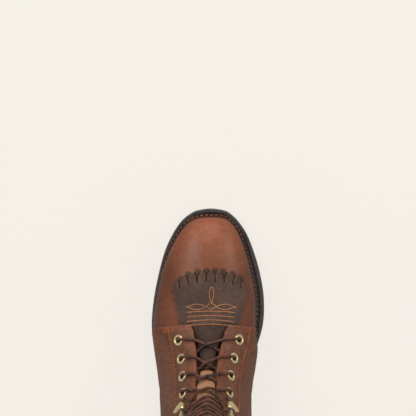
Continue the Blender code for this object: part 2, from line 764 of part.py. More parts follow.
def hook_profile():
    """Side view of a hook as inner and outer lines of (towards the gap, out)."""
    outer, inner = [], []
    turn = HOOK_MOUTH / 2 + HOOK_SHEET
    neck = HOOK_REACH / 2 - turn
    outer.append((-HOOK_REACH / 2, 0.0))
    inner.append((-HOOK_REACH / 2, HOOK_SHEET))
    for k in range(6):
        angle = math.pi * (k / 5 - 0.5)
        outer.append((neck + turn * math.cos(angle), turn + turn * math.sin(angle)))
        small = turn - HOOK_SHEET
        inner.append((neck + small * math.cos(angle), turn + small * math.sin(angle)))
    tip = 2 * turn + HOOK_SHEET * 0.7
    outer.append((-HOOK_REACH / 2, tip))
    inner.append((-HOOK_REACH / 2, tip - HOOK_SHEET))
    return outer, inner


def build_hooks():
    """Open speed hooks above the eyelets, their mouths turned away from the gap."""
    outer, inner = hook_profile()
    brass = material("hook", BRASS, 0.35, 0.9)
    for side, word in ((1, "outer"), (-1, "inner")):
        for k, row in enumerate(lacing_rows(side)[EYELET_PAIRS:]):
            frame = stay_frame(row, side, QUARTER_STEP + STAY_STEP + SEAT)
            sheets = []
            for line in (outer, inner):
                sheet = []
                for m, (x, z) in enumerate(line):
                    half = HOOK_WIDTH / 2 * (0.62 if m in (0, len(line) - 1) else 1.0)
                    spots = [Vector((towards_gap(side) * x, y, z)) for y in (-half, half)]
                    sheet.append([frame @ p for p in spots])
                sheets.append(sheet)
            cells = [(i, 0) for i in range(len(outer) - 1)]
            points, faces = shell(sheets[0], sheets[1], cells)
            name = f"hook_{word}_{k + 1}"
            add_object(name, mesh_of(name, points, faces), brass)


def ridge_rows(distances, forward=True):
    """Rows at distances along the ridge from the seam, towards the collar or the toe."""
    return rows_along(distances, lambda row: 0.0, SEAM_ROW, forward)


def kiltie_top(behind):
    """Offset of the kiltie's upper face at a distance behind the seam, as its tail dives."""
    proud = GAP + KILTIE_THICKNESS
    return proud + (tail_depth() - proud) * ease(behind / TAIL_DIVE)


def tail_depth():
    """Offset of the tail's upper face where a lace just fits between it and the facings."""
    return -(UPPER_WALL + LACE_DIAMETER + 4 * GAP)


def tongue_top(behind):
    """Offset of the tongue's outer face: under the tail first, then up behind the facings."""
    room = KILTIE_THICKNESS + LACE_DIAMETER / 2 + 2 * GAP
    return tail_depth() - room * (1 - ease((behind - TAIL_LENGTH) / (TAIL_LENGTH / 2)))


def build_tongue():
    """The tongue: from under the vamp to just above the collar, behind the facings."""
    tuck = ridge_rows([TONGUE_TUCK * k / 2 for k in range(3)], forward=False)[::-1]
    length = ridge_length() + TONGUE_RISE
    steps = 17
    distances = [length * k / steps for k in range(1, steps + 1)]
    rows = tuck + ridge_rows(distances)
    behind = [-TONGUE_TUCK, -TONGUE_TUCK / 2, 0.0] + distances
    outer, inner = [], []
    for row, distance in zip(rows, behind):
        top = tongue_top(distance)
        width = TONGUE_WIDTH + (TONGUE_TOP_WIDTH - TONGUE_WIDTH) * max(distance, 0.0) / length
        corner = 1 - 0.22 * max((distance - length + TONGUE_RISE) / TONGUE_RISE, 0.0) ** 3
        runs = [width / 2 * corner * k / 4 for k in range(-4, 5)]
        outer.append([skin(row, run, top) for run in runs])
        inner.append([skin(row, run, top - TONGUE_THICKNESS) for run in runs])
    cells = [(i, j) for i in range(len(rows) - 1) for j in range(8)]
    points, faces = shell(outer, inner, cells)
    add_object("tongue", mesh_of("tongue", points, faces), material("tongue", TAN_LEATHER, 0.6))


def ridge_length():
    """Length of the ridge from the seam to the collar."""
    length, spot = 0.0, skin_point(SEAM_ROW, 0.0)
    steps = 200
    for k in range(1, steps + 1):
        onward = skin_point(SEAM_ROW + (COLLAR_ROW - SEAM_ROW) * k / steps, 0.0)
        length += (onward - spot).length
        spot = onward
    return length


def kiltie_lines():
    """Rows of the kiltie's grid as (row, half width, top offset)."""
    front = [KILTIE_LENGTH + FRINGE_LENGTH, KILTIE_LENGTH]
    body = [KILTIE_LENGTH * k / 4 for k in (3, 2, 1)] + [SEAT]
    tail = [SEAT] + [TAIL_LENGTH * k / 6 for k in range(1, 7)]
    lines = []
    ahead_rows = ridge_rows(sorted(front + body), forward=False)[::-1]
    for ahead, row in zip(front + body, ahead_rows):
        share = min(ahead / KILTIE_LENGTH, 1.0)
        width = KILTIE_BACK_WIDTH + (KILTIE_FRONT_WIDTH - KILTIE_BACK_WIDTH) * share**0.8
        lines.append((row, width / 2, GAP + KILTIE_THICKNESS))
    for behind, row in zip(tail, ridge_rows(tail)):
        lines.append((row, min(throat_half(row), THROAT_WIDTH / 2) - SEAT, kiltie_top(behind)))
    return lines


def kiltie_columns():
    """Shares of the half width across the kiltie: three columns to a finger, slits between."""
    slit = FRINGE_SLIT / KILTIE_FRONT_WIDTH * 2
    pitch = 2 / FRINGE_FINGERS
    columns = []
    for k in range(FRINGE_FINGERS):
        left = -1 + pitch * k + (slit / 2 if k else 0)
        right = -1 + pitch * (k + 1) - (slit / 2 if k < FRINGE_FINGERS - 1 else 0)
        columns += [left, (left + right) / 2, right]
    return columns


def build_kiltie():
    """The fringed kiltie: fingers over the vamp, a body up to the seam and a tail in the gap."""
    lines = kiltie_lines()
    columns = kiltie_columns()
    tail_first = 3 * (FRINGE_FINGERS // 2 - 2)
    tail_last = len(columns) - 1 - tail_first
    outer, inner, cells = [], [], []
    for i, (row, half, top) in enumerate(lines):
        top_line, low_line = [], []
        for j, share in enumerate(columns):
            run = half * share
            if i > 5:
                held = min(max(j, tail_first), tail_last)
                run = half * columns[held] / columns[tail_last]
            along = row
            if i == 0 and j % 3 != 1:
                along = row + (lines[1][0] - row) * 0.42
            if i < 2:
                along += FRINGE_BOW * share**2 * (SEAM_ROW - row)
            top_line.append(skin(along, run, top))
            low_line.append(skin(along, run, top - KILTIE_THICKNESS))
        outer.append(top_line)
        inner.append(low_line)
    for i in range(len(lines) - 1):
        for j in range(len(columns) - 1):
            slit = j % 3 == 2
            if i == 0 and slit:
                continue
            if i >= 5 and not tail_first <= j < tail_last:
                continue
            cells.append((i, j))
    points, faces = shell(outer, inner, cells)
    add_object("kiltie", mesh_of("kiltie", points, faces), material("kiltie", DARK_LEATHER, 0.7))


def behind_seam(row):
    """Distance along the ridge from the seam back to a row."""
    steps = max(1, int((row - SEAM_ROW) * 8))
    spots = [skin_point(SEAM_ROW + (row - SEAM_ROW) * k / steps, 0.0) for k in range(steps + 1)]
    return sum((b - a).length for a, b in zip(spots, spots[1:]))


def gap_floor(row):
    """Offset of what lies under the laces in the gap: the kiltie's tail or the tongue."""
    behind = behind_seam(row)
    if behind < TAIL_LENGTH + LACE_DIAMETER:
        return max(kiltie_top(behind), tail_depth())
    return tongue_top(behind)


def through_eyelet(row, side):
    """Lace points up through an eyelet, turning round its rim towards the gap at both ends."""
    run = abs(stay_run(row, side))
    proud, radius = QUARTER_STEP + STAY_STEP, LACE_DIAMETER / 2
    under, over = -(UPPER_WALL + 2 * GAP + radius), proud + SEAT + EYELET_CROWN + GAP + radius
    spots = (
        (-EYELET_FLANGE * 0.47, under),
        (-LACE_DIAMETER * 0.46, under * 0.97),
        (LACE_DIAMETER * 0.27, under * 0.42),
        (LACE_DIAMETER * 0.23, over * 0.40),
        (-LACE_DIAMETER * 0.38, over * 0.95),
        (-EYELET_FLANGE * 0.47, over),
    )
    return [skin(row, side * (run + shift), offset) for shift, offset in spots]


def round_hook(row, side):
    """Lace points through a hook's mouth, round its neck and back towards the gap."""
    frame = stay_frame(row, side, QUARTER_STEP + STAY_STEP + SEAT)
    centre, radius = HOOK_SHEET + HOOK_MOUTH / 2, LACE_DIAMETER / 2
    neck = HOOK_REACH / 2 - HOOK_SHEET - GAP - radius
    half, thick = HOOK_WIDTH / 2, LACE_DIAMETER
    spots = [(neck - GAP, 0.0), (neck, half * 1.05)]
    spots += [(neck + thick * 0.7, half + thick * 0.9), (neck + thick * 2.1, half + thick * 1.5)]
    spots = [(x, -y) for x, y in spots[:0:-1]] + spots
    lift = {0: -thick * 0.46, len(spots) - 1: -thick * 0.46}
    turned = towards_gap(side)
    return [frame @ Vector((turned * x, y, centre + lift.get(k, 0.0))) for k, (x, y) in enumerate(spots)]


def across_gap(start, end, side, under, on_top):
    """Lace points from over one facing to under or over the other, above what lies in the gap."""
    radius = LACE_DIAMETER / 2
    over = QUARTER_STEP + STAY_STEP + GAP + radius
    if under:
        ways = ((0.09, 0.96), (0.17, 0.58), (0.25, 0.0), (0.36, -0.55), (0.45, -0.80), (0.66, -1.3))
        below = -(UPPER_WALL + 2 * GAP + radius)
        crest = gap_floor(start + 0.25 * (end - start)) + 3 * GAP + radius
        heights = [over * 1.05, (over + crest) / 2, crest, crest * 0.4 + below * 0.6, below, below]
    else:
        ways = ((0.15, 1.12), (0.32, 0.6), (0.50, 0.0), (0.68, -0.6), (0.85, -1.12))
        crest = over - LACE_DIAMETER * 1.2
        heights = [over * 1.1, over * 0.75, crest, over * 0.75, over * 1.1]
    if on_top:
        middle = 2
        heights[middle] += LACE_DIAMETER + GAP
        heights[middle - 1] += LACE_DIAMETER * 0.5
        heights[middle + 1] += LACE_DIAMETER * (0.25 if under else 0.5)
    points = []
    for (way, share), height in zip(ways, heights):
        row = start + way * (end - start)
        points.append(skin(row, side * share * throat_half(row), height))
    return points


def lace_half(side):
    """Lace points of one end: from the bar behind the kiltie, criss-cross, to the top hook."""
    rows = {1: lacing_rows(1), -1: lacing_rows(-1)}
    count = EYELET_PAIRS + HOOK_PAIRS
    first = rows[side][0]
    edge = throat_half(first)
    under = -(UPPER_WALL + 2 * GAP + LACE_DIAMETER / 2)
    beneath = kiltie_top(behind_seam(first)) - KILTIE_THICKNESS - SEAT - LACE_DIAMETER / 2
    points = [skin(first, side * edge * 0.5, beneath), skin(first, side * edge * 0.95, beneath)]
    points.append(skin(first, side * edge * 1.22, (beneath + under) / 2))
    for k in range(count):
        here = side if k % 2 == 0 else -side
        row = rows[here][k]
        if k < EYELET_PAIRS:
            points += through_eyelet(row, here)
        elif k < count - 1:
            points += round_hook(row, here)
        else:
            points += round_hook(row, here)[:5]
        if k < count - 1:
            under_next = k + 1 < EYELET_PAIRS
            points += across_gap(row, rows[-here][k + 1], here, under_next, here < 0)
    return points


def build_lace():
    """One lace: a bar behind the kiltie's tail, then criss-cross through eyelets and hooks."""
    route = lace_half(1)[::-1] + lace_half(-1)
    curve = bpy.data.curves.new("lace", "CURVE")
    curve.dimensions = "3D"
    curve.bevel_depth = LACE_DIAMETER / 2
    curve.bevel_resolution = 1
    curve.use_fill_caps = True
    spline = curve.splines.new("POLY")
    spline.points.add(len(route) - 1)
    for point, spot in zip(spline.points, route):
        point.co = (*spot, 1.0)
    add_object("lace", curve, material("lace", LACE_BROWN, 0.7))


def main():
    for obj in list(bpy.data.objects):
        bpy.data.objects.remove(obj, do_unlink=True)
    build_outsole()
    build_heel()
    build_welt()
    build_insole()
    build_upper()
    build_tongue()
    build_kiltie()
    build_eyelets()
    build_hooks()
    build_lace()


main()
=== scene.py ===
import math

import bpy
import numpy as np
from mathutils import Matrix, Vector


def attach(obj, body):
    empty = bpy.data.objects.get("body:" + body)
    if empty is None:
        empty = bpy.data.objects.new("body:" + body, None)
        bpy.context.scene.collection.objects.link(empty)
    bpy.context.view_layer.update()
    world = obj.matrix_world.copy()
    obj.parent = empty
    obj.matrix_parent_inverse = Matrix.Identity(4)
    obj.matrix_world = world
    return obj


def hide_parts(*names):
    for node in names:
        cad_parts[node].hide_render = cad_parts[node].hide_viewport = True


# A left lace-up boot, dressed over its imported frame. Metres: toe along -Y, outer side +X, floor at 0.
# Stations run forward from the back of the sole. On the upper a row runs from toe to collar and a
# run is the distance round the last from its ridge, positive on the outer side.
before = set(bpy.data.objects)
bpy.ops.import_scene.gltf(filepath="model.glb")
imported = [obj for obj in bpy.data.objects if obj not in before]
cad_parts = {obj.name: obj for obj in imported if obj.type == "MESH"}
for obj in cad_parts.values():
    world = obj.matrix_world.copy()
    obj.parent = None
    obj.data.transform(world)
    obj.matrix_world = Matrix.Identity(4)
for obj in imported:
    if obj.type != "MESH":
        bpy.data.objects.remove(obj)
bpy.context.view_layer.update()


# Node and mesh helpers

def setInputs(tree, node, inputs):
    for name, value in inputs.items():
        if isinstance(value, bpy.types.NodeSocket):
            tree.links.new(value, node.inputs[name])
        else:
            node.inputs[name].default_value = value


def addNode(tree, kind, inputs=None, **settings):
    made = tree.nodes.new(kind)
    for name, value in settings.items():
        setattr(made, name, value)
    setInputs(tree, made, inputs or {})
    return made


def maths(tree, operation, *values, **settings):
    return addNode(tree, "ShaderNodeMath", dict(enumerate(values)), operation=operation, **settings).outputs[0]


def noise(tree, spot, scale, detail, **more):
    given = {"Vector": spot, "Scale": scale, "Detail": detail, **{name.capitalize(): v for name, v in more.items()}}
    return addNode(tree, "ShaderNodeTexNoise", given).outputs


def bumped(tree, height, strength, distance):
    given = {"Height": height, "Strength": strength, "Distance": distance}
    return addNode(tree, "ShaderNodeBump", given).outputs["Normal"]


def newMaterial(name):
    made = bpy.data.materials.new(name)
    made.use_nodes = True
    tree = made.node_tree
    return made, tree, tree.nodes["Principled BSDF"], addNode(tree, "ShaderNodeTexCoord").outputs["Object"]


def addSockets(tree, inputs, outputs):
    for name, kind, value in inputs:
        made = tree.interface.new_socket(name, in_out="INPUT", socket_type=kind)
        if value is not None:
            made.default_value = value
    for name, kind in outputs:
        tree.interface.new_socket(name, in_out="OUTPUT", socket_type=kind)


def linkObject(name, data):
    made = bpy.data.objects.new(name, data)
    bpy.context.scene.collection.objects.link(made)
    return made


def meshObject(name, points, faces, materials, faceMaterials=None, pointValues=None):
    mesh = bpy.data.meshes.new(name)
    mesh.from_pydata([tuple(p) for p in points], [], [tuple(int(k) for k in f) for f in faces])
    for made in materials:
        mesh.materials.append(made)
    if faceMaterials is not None:
        mesh.polygons.foreach_set("material_index", np.asarray(faceMaterials, np.int32))
    for title, values in (pointValues or {}).items():
        held = mesh.attributes.new(title, "FLOAT", "POINT")
        held.data.foreach_set("value", np.asarray(values, np.float32).ravel())
    mesh.calc_loop_triangles()
    corners = np.array([t.vertices[:] for t in mesh.loop_triangles])
    spots = np.array([v.co[:] for v in mesh.vertices])
    if np.linalg.det(spots[corners]).sum() < 0:
        mesh.flip_normals()
    mesh.polygons.foreach_set("use_smooth", np.ones(len(mesh.polygons), bool))
    mesh.set_sharp_from_angle(angle=math.radians(50))
    return linkObject(name, mesh)


def settle(piece):
    # turns a piece with modifiers into a plain mesh
    graph = bpy.context.evaluated_depsgraph_get()
    mesh = bpy.data.meshes.new_from_object(
        piece.evaluated_get(graph), preserve_all_data_layers=True, depsgraph=graph)
    piece.modifiers.clear()
    piece.data = mesh
    return piece


def finishPiece(piece, slot, *nodes):
    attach(piece, "root")
    if nodes:
        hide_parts(*nodes)
    return piece


def bandFaces(count, rings):
    # faces between closed rings of points that follow each other
    a = np.arange(count * (rings - 1)).reshape(-1, count)
    b = np.roll(a, -1, 1)
    return np.stack([a, b, b + count, a + count], -1).reshape(-1, 4).tolist()


def tubeFaces(count, rings):
    return bandFaces(count, rings) + [list(range(count))[::-1], list(range((rings - 1) * count, rings * count))]


def wallPiece(name, top, low, materials, pointValues=None, keep=None):
    # a wall between two grids of points, closed round the edge of the cells that are kept
    rows, columns = top.shape[:2]
    index = np.arange(rows * columns).reshape(rows, columns)
    if keep is None:
        keep = np.ones((rows - 1, columns - 1), bool)
    ring = np.stack([index[:-1, :-1], index[:-1, 1:], index[1:, 1:], index[1:, :-1]], -1)[keep]
    under = rows * columns
    ends = np.concatenate([ring[:, [k, (k + 1) % 4]] for k in range(4)])
    forward, backward = ends[:, 0] * under + ends[:, 1], ends[:, 1] * under + ends[:, 0]
    free = ends[~np.isin(forward, backward)]
    walls = np.stack([free[:, 1], free[:, 0], free[:, 0] + under, free[:, 1] + under], -1)
    faces = np.concatenate([ring, ring[:, ::-1] + under, walls])
    kinds = np.repeat([0, 1, 2], [len(ring), len(ring), len(walls)])
    values = {title: np.concatenate([v.ravel(), v.ravel()]) for title, v in (pointValues or {}).items()}
    points = np.concatenate([top.reshape(-1, 3), low.reshape(-1, 3)])
    used, faces = np.unique(faces, return_inverse=True)
    faces = faces.reshape(-1, 4)
    values = {title: v[used] for title, v in values.items()}
    return meshObject(name, points[used], faces, materials, kinds, values)


# Sizes shared by every piece, as in the part's source

sole = {
    "length": 0.305, "ballWidth": 0.112, "toeSpring": 0.012, "heelHeight": 0.026, "heelLength": 0.068,
    "heelTaper": 0.0022, "topLift": 0.006, "thickness": 0.0062, "welt": 0.0032, "weltSetback": 0.0021,
    "weltTuck": 0.0042, "rim": 0.0090, "insole": 0.003, "ballBack": 0.560, "ballFront": 0.790,
    "heelCentre": 0.110, "gap": 0.0003, "seat": 0.0006,
}
last = {
    "ankle": 0.118, "shaft": 0.191, "wall": 0.002, "quarterStep": 0.0009, "stayStep": 0.0008,
    "stayWidth": 0.0330, "throat": 0.0335, "throatRows": 4.0, "throatCorner": 0.0030, "lacingGap": 0.0212,
    "collarGap": 0.045,
    "ankleBlend": 1.0, "ankleFade": 5.0, "seamRow": 10.0, "rowStep": 0.05, "acrossSteps": 160,
}

# station, outer, inner, outer rim, inner rim
soleTable = np.array((
    (1.0000, -0.050, -0.050, 1.00, 1.00),
    (0.9945, 0.165, -0.265, 1.00, 1.00),
    (0.9853, 0.286, -0.376, 0.98, 0.98),
    (0.9607, 0.452, -0.517, 0.92, 1.00),
    (0.9180, 0.612, -0.674, 0.88, 1.13),
    (0.8590, 0.760, -0.804, 0.75, 1.25),
    (0.7869, 0.869, -0.919, 0.68, 1.31),
    (0.7049, 0.958, -0.991, 0.62, 1.35),
    (0.6230, 1.000, -0.982, 0.52, 1.32),
    (0.5508, 0.973, -0.884, 0.46, 0.90),
    (0.4590, 0.875, -0.716, 0.44, 0.50),
    (0.3672, 0.769, -0.618, 0.42, 0.44),
    (0.2754, 0.690, -0.612, 0.42, 0.42),
    (0.1803, 0.664, -0.652, 0.42, 0.42),
    (0.0918, 0.624, -0.620, 0.42, 0.42),
    (0.0328, 0.464, -0.464, 0.42, 0.42),
    (0.0072, 0.250, -0.250, 0.42, 0.42),
    (0.0000, 0.000, 0.000, 0.42, 0.42),
))
# bottom, ridge, lift, centre, outer, inner, belly, crown, heel
footTable = np.array((
    (1.000, 1.0000, 0.000, -0.050, -0.050, -0.050, 0.50, 2.0, 0.0),
    (0.997, 1.0050, 0.052, -0.050, 0.110, -0.210, 0.50, 2.1, 0.0),
    (0.987, 1.0040, 0.110, -0.050, 0.240, -0.325, 0.52, 2.2, 0.0),
    (0.970, 0.9950, 0.170, -0.050, 0.362, -0.415, 0.54, 2.2, 0.0),
    (0.946, 0.9770, 0.228, -0.050, 0.460, -0.488, 0.56, 2.2, 0.0),
    (0.912, 0.9420, 0.284, -0.050, 0.576, -0.548, 0.58, 2.2, 0.0),
    (0.866, 0.8910, 0.338, -0.048, 0.696, -0.602, 0.60, 2.2, 0.0),
    (0.812, 0.8300, 0.386, -0.046, 0.798, -0.672, 0.60, 2.1, 0.0),
    (0.752, 0.7652, 0.430, -0.042, 0.872, -0.728, 0.60, 2.05, 0.0),
    (0.680, 0.7152, 0.482, -0.036, 0.930, -0.754, 0.61, 1.95, 0.0),
    (0.606, 0.6714, 0.540, -0.028, 0.958, -0.784, 0.63, 1.85, 0.0),
    (0.540, 0.6298, 0.592, -0.014, 0.932, -0.854, 0.66, 1.7, 0.0),
    (0.474, 0.5901, 0.638, 0.004, 0.884, -0.822, 0.70, 1.55, 0.0),
    (0.408, 0.5525, 0.676, 0.020, 0.842, -0.766, 0.69, 1.48, 0.0),
    (0.340, 0.5192, 0.714, 0.028, 0.818, -0.740, 0.69, 1.45, 0.0),
    (0.272, 0.4925, 0.754, 0.032, 0.802, -0.742, 0.675, 1.45, 0.0),
    (0.206, 0.4745, 0.806, 0.034, 0.784, -0.740, 0.665, 1.45, 0.1),
    (0.144, 0.4645, 0.864, 0.036, 0.768, -0.736, 0.66, 1.46, 0.3),
    (0.090, 0.4595, 0.920, 0.036, 0.754, -0.734, 0.66, 1.48, 0.6),
    (0.046, 0.4568, 0.962, 0.036, 0.744, -0.731, 0.65, 1.5, 0.85),
    (0.014, 0.4554, 0.988, 0.036, 0.741, -0.730, 0.64, 1.5, 1.0),
    (0.000, 0.4549, 1.000, 0.036, 0.740, -0.729, 0.63, 1.5, 1.0),
))
# back, back rise, front, front rise, centre, outer, inner, belly, crown, heel
shaftTable = np.array((
    (-0.0106, 0.085, 0.4545, 0.10, 0.036, 0.739, -0.728, 0.62, 1.5, 0.95),
    (-0.0080, 0.180, 0.4542, 0.21, 0.036, 0.738, -0.727, 0.61, 1.5, 0.8),
    (0.0040, 0.290, 0.4540, 0.33, 0.036, 0.738, -0.726, 0.60, 1.5, 0.6),
    (0.0164, 0.410, 0.4538, 0.46, 0.036, 0.739, -0.725, 0.59, 1.5, 0.4),
    (0.0225, 0.540, 0.4537, 0.60, 0.036, 0.742, -0.725, 0.58, 1.52, 0.2),
    (0.0198, 0.690, 0.4537, 0.74, 0.036, 0.747, -0.726, 0.57, 1.54, 0.1),
    (0.0113, 0.850, 0.4540, 0.88, 0.036, 0.753, -0.729, 0.56, 1.57, 0.0),
    (0.0027, 1.000, 0.4545, 1.00, 0.036, 0.760, -0.732, 0.55, 1.6, 0.0),
))
seamRow = last["seamRow"]
ankleRow = 14.5
heelRow = len(footTable) - 1
collarRow = len(footTable) + len(shaftTable) - 1


# The last: every shape on the boot is laid on it

def catmull(a, b, c, d, t):
    return b + 0.5 * t * (c - a + t * (2 * a - 5 * b + 4 * c - d + t * (3 * (b - c) + d - a)))


def smoothLine(points, places):
    # points of a smooth line, at places counted along its knots
    k = np.clip(places.astype(int), 0, len(points) - 2)
    near = [points[np.clip(k + n, 0, len(points) - 1)] for n in (-1, 0, 1, 2)]
    return catmull(*near, (places - k)[:, None])


def lengthsAlong(points):
    # distance from the first point along a line, or along each column of a grid
    steps = np.linalg.norm(np.diff(points, axis=0), axis=-1)
    return np.concatenate([np.zeros_like(steps[:1]), np.cumsum(steps, axis=0)])


def unit(ways):
    return ways / np.maximum(np.linalg.norm(ways, axis=-1, keepdims=True), 1e-9)


def inBoot(across, station, height):
    # the boot's own frame: toe along -Y, and Y = 0 above the middle of the heel
    return np.stack([across, sole["heelCentre"] * sole["length"] - station, height], -1)


def ease(t):
    t = np.clip(t, 0.0, 1.0)
    return t * t * (3 - 2 * t)


def treadHeight(station):
    back = sole["ballBack"] * sole["length"]
    arch = sole["heelHeight"] * (1 - ease((station - sole["heelLength"]) / (back - sole["heelLength"])))
    rise = np.maximum(0.0, (station / sole["length"] - sole["ballFront"]) / (1 - sole["ballFront"]))
    return np.where(station < back, arch, sole["toeSpring"] * rise**1.8)


def featherHeight(station):
    return treadHeight(station) + sole["thickness"] + sole["gap"] + sole["welt"]


def soleLoop(inset=0.0, rims=0.0, steps=12):
    # (x, station) of the outline: down the outer side and back up the inner
    half, length = sole["ballWidth"] / 2, sole["length"]
    outer = soleTable[:, [1, 0, 3]] * (half, length, 1)
    inner = soleTable[-2:0:-1, [2, 0, 4]] * (half, length, 1)
    loop = np.vstack([outer, inner])
    places = np.arange(len(loop) * steps) / steps
    k = places.astype(int)
    near = [loop[(k + n) % len(loop)] for n in (-1, 0, 1, 2)]
    points = catmull(*near, (places - k)[:, None])
    along = np.roll(points, -1, 0) - np.roll(points, 1, 0)
    along = along[:, :2] / np.linalg.norm(along[:, :2], axis=1)[:, None]
    depth = inset + rims * points[:, 2]
    return np.column_stack([points[:, 0] + along[:, 1] * depth, points[:, 1] - along[:, 0] * depth])


feather = soleLoop(rims=sole["rim"], steps=8)
halfLoop = len(feather) // 2
featherSide = {1: feather[:halfLoop + 1][::-1], -1: np.vstack([feather[halfLoop:], feather[:1]])}
featherBack = feather[halfLoop][1]
featherLength = feather[0][1] - featherBack
seatHeight = float(featherHeight(featherBack)) + sole["seat"]


def sectionTable():
    half, rows = sole["ballWidth"] / 2, []
    for bottom, ridge, lift, centre, outer, inner, belly, crown, heel in footTable:
        low = featherBack + bottom * featherLength
        height = float(featherHeight(low)) + sole["seat"]
        top = (featherBack + ridge * featherLength, height + lift * last["ankle"])
        rows.append((low, height, *top, centre * half, outer * half, inner * half, belly, crown, heel))
    for back, backRise, front, frontRise, centre, outer, inner, belly, crown, heel in shaftTable:
        climb = last["ankle"] + frontRise * (last["shaft"] - last["ankle"])
        low = (featherBack + back * featherLength, seatHeight + backRise * last["shaft"])
        top = (featherBack + front * featherLength, seatHeight + climb)
        rows.append((*low, *top, centre * half, outer * half, inner * half, belly, crown, heel))
    return np.array(rows)


sections = sectionTable()
archUp = np.linspace(0, math.pi / 2, 45)
archDown = np.arange(1, 37) / 36


def plainArch(row, side):
    place = np.array([row], float)
    low, height, station, z, centre, outer, inner, belly, crown, heel = smoothLine(sections, place)[0]
    base, foot = float(feather[halfLoop][0]), 0.0
    if row <= heelRow:
        low = min(max(low, featherBack), featherBack + featherLength)
        height = float(featherHeight(low)) + sole["seat"]
        reach = [np.interp(low, featherSide[s][:, 1], featherSide[s][:, 0]) for s in (1, -1)]
        base, foot = (reach[0] + reach[1]) / 2, (reach[0] - reach[1]) / 2
        centre = base + (centre - base) * min(row, 1.0)
    widest = side * ((outer if side > 0 else inner) - centre - (base - centre) * belly)
    width = max(widest, foot * 1.02, 1e-9) if row > 0 else 1e-9
    turn = max(math.acos(min(foot / width, 1.0)), 1e-4)
    shift = low - featherBack if row > heelRow else 0.0

    def plan(down):
        there = np.interp(station + (low - station) * down - shift, featherSide[side][:, 1], featherSide[side][:, 0])
        return side * (there - centre - (base - centre) * down)

    share = np.sin(turn * archDown) / math.sin(turn)
    down = belly + (1 - belly) * share
    follow = plan(down) + (width - plan(belly)) * np.cos(math.pi / 2 * share)
    lower = width * np.cos(turn * archDown) * (1 - heel) + follow * heel
    x = np.concatenate([width * np.sin(archUp) ** (2 / crown), lower])
    down = np.concatenate([belly * (1 - np.clip(np.cos(archUp), 0, 1) ** (2 / crown)), down])
    middle = centre + (base - centre) * down
    return np.column_stack([middle + side * x, station + (low - station) * down, z + (height - z) * down])


def roundedArch(row, side):
    plain = plainArch(row, side)
    reach = last["ankleBlend"] * ease(1 - abs(row - heelRow) / last["ankleFade"])
    if reach <= 0:
        return plain
    near = {n: plainArch(row + reach * n, side) for n in (-2, -1, 1, 2)}
    mean = (plain * 6 + (near[-1] + near[1]) * 4 + near[-2] + near[2]) / 16
    hold = (np.arange(len(plain)) / (len(plain) - 1))[:, None] ** 4
    return mean + (plain - mean) * hold


def layLast():
    # points, outward directions and girths of both sides on an even grid of rows and shares
    rows = np.arange(0, collarRow + 1e-9, last["rowStep"])
    shares = np.linspace(0, 1, last["acrossSteps"] + 1)
    points, girths, outs = [], [], []
    for side in (1, -1):
        lines, lengths = [], []
        for row in rows:
            arch = roundedArch(row, side)
            gone = lengthsAlong(arch)
            lines.append(np.column_stack([np.interp(shares * gone[-1], gone, arch[:, k]) for k in range(3)]))
            lengths.append(gone[-1])
        lines = np.array(lines)
        out = side * np.cross(np.gradient(lines, axis=0), np.gradient(lines, axis=1))
        size = np.linalg.norm(out, axis=2, keepdims=True)
        outs.append(np.where(size > 1e-14, out / np.maximum(size, 1e-14), (0, 1, 0)))
        points.append(lines)
        girths.append(lengths)
    ridge = outs[0][:, 0] + outs[1][:, 0]
    outs[0][:, 0] = outs[1][:, 0] = ridge / np.linalg.norm(ridge, axis=1)[:, None]
    return np.array(points), np.array(outs), np.array(girths)


lastPoints, lastOuts, lastGirths = layLast()
print("last laid out")


def girthAt(row, side):
    rows = np.arange(lastGirths.shape[1]) * last["rowStep"]
    return np.interp(row, rows, lastGirths[0 if side > 0 else 1])


def onLast(row, run, offset=0.0, outward=False):
    # a point off the last, and if asked its outward direction, in the boot's frame
    row, run, offset = np.broadcast_arrays(np.asarray(row, float), np.asarray(run, float), offset)
    side = np.where(run < 0, 1, 0)
    place = np.clip(row / last["rowStep"], 0, lastPoints.shape[1] - 1 - 1e-6)
    i = place.astype(int)
    f = (place - i)[..., None]
    girth = lastGirths[side, i] * (1 - f[..., 0]) + lastGirths[side, i + 1] * f[..., 0]
    across = np.clip(np.abs(run) / girth, 0, 1) * last["acrossSteps"]
    j = np.minimum(across.astype(int), last["acrossSteps"] - 1)
    g = (across - j)[..., None]

    def read(table):
        near = table[side, i, j] * (1 - g) + table[side, i, j + 1] * g
        far = table[side, i + 1, j] * (1 - g) + table[side, i + 1, j + 1] * g
        return near * (1 - f) + far * f

    out = unit(read(lastOuts))
    spot = (read(lastPoints) + out * offset[..., None]) * (1, -1, 1)
    spot = spot + (0, sole["heelCentre"] * sole["length"], 0)
    return (spot, out * (1, -1, 1)) if outward else spot


def rowsAlong(distances, runOf, start, forward=True):
    # rows met at distances along the last from a row, at the run given for each
    end = collarRow if forward else 0.5
    rows = np.linspace(start, end, 900)
    return np.interp(distances, lengthsAlong(onLast(rows, runOf(rows))), rows)


def throatHalf(row):
    narrowing = 1 - (1 - np.clip((row - seamRow) / last["throatRows"], 0, 1)) ** 2
    corner = last["throatCorner"] * np.maximum(0.0, 1 - np.maximum(row - seamRow, 0.0) / 0.45) ** 2
    opening = (last["collarGap"] - last["lacingGap"]) * np.clip((row - ankleRow) / (collarRow - ankleRow), 0, 1)
    return (last["throat"] + (last["lacingGap"] - last["throat"]) * narrowing + opening) / 2 + corner


def ridgeRows(distances, forward=True):
    return rowsAlong(distances, lambda row: row * 0, seamRow, forward)


def behindSeam(row):
    rows = np.linspace(seamRow, collarRow, 900)
    return np.interp(row, rows, lengthsAlong(onLast(rows, rows * 0)))


def hump(away, width):
    return np.exp(-(away / width) ** 2)


def fading(away, width):
    return np.exp(-away / width)


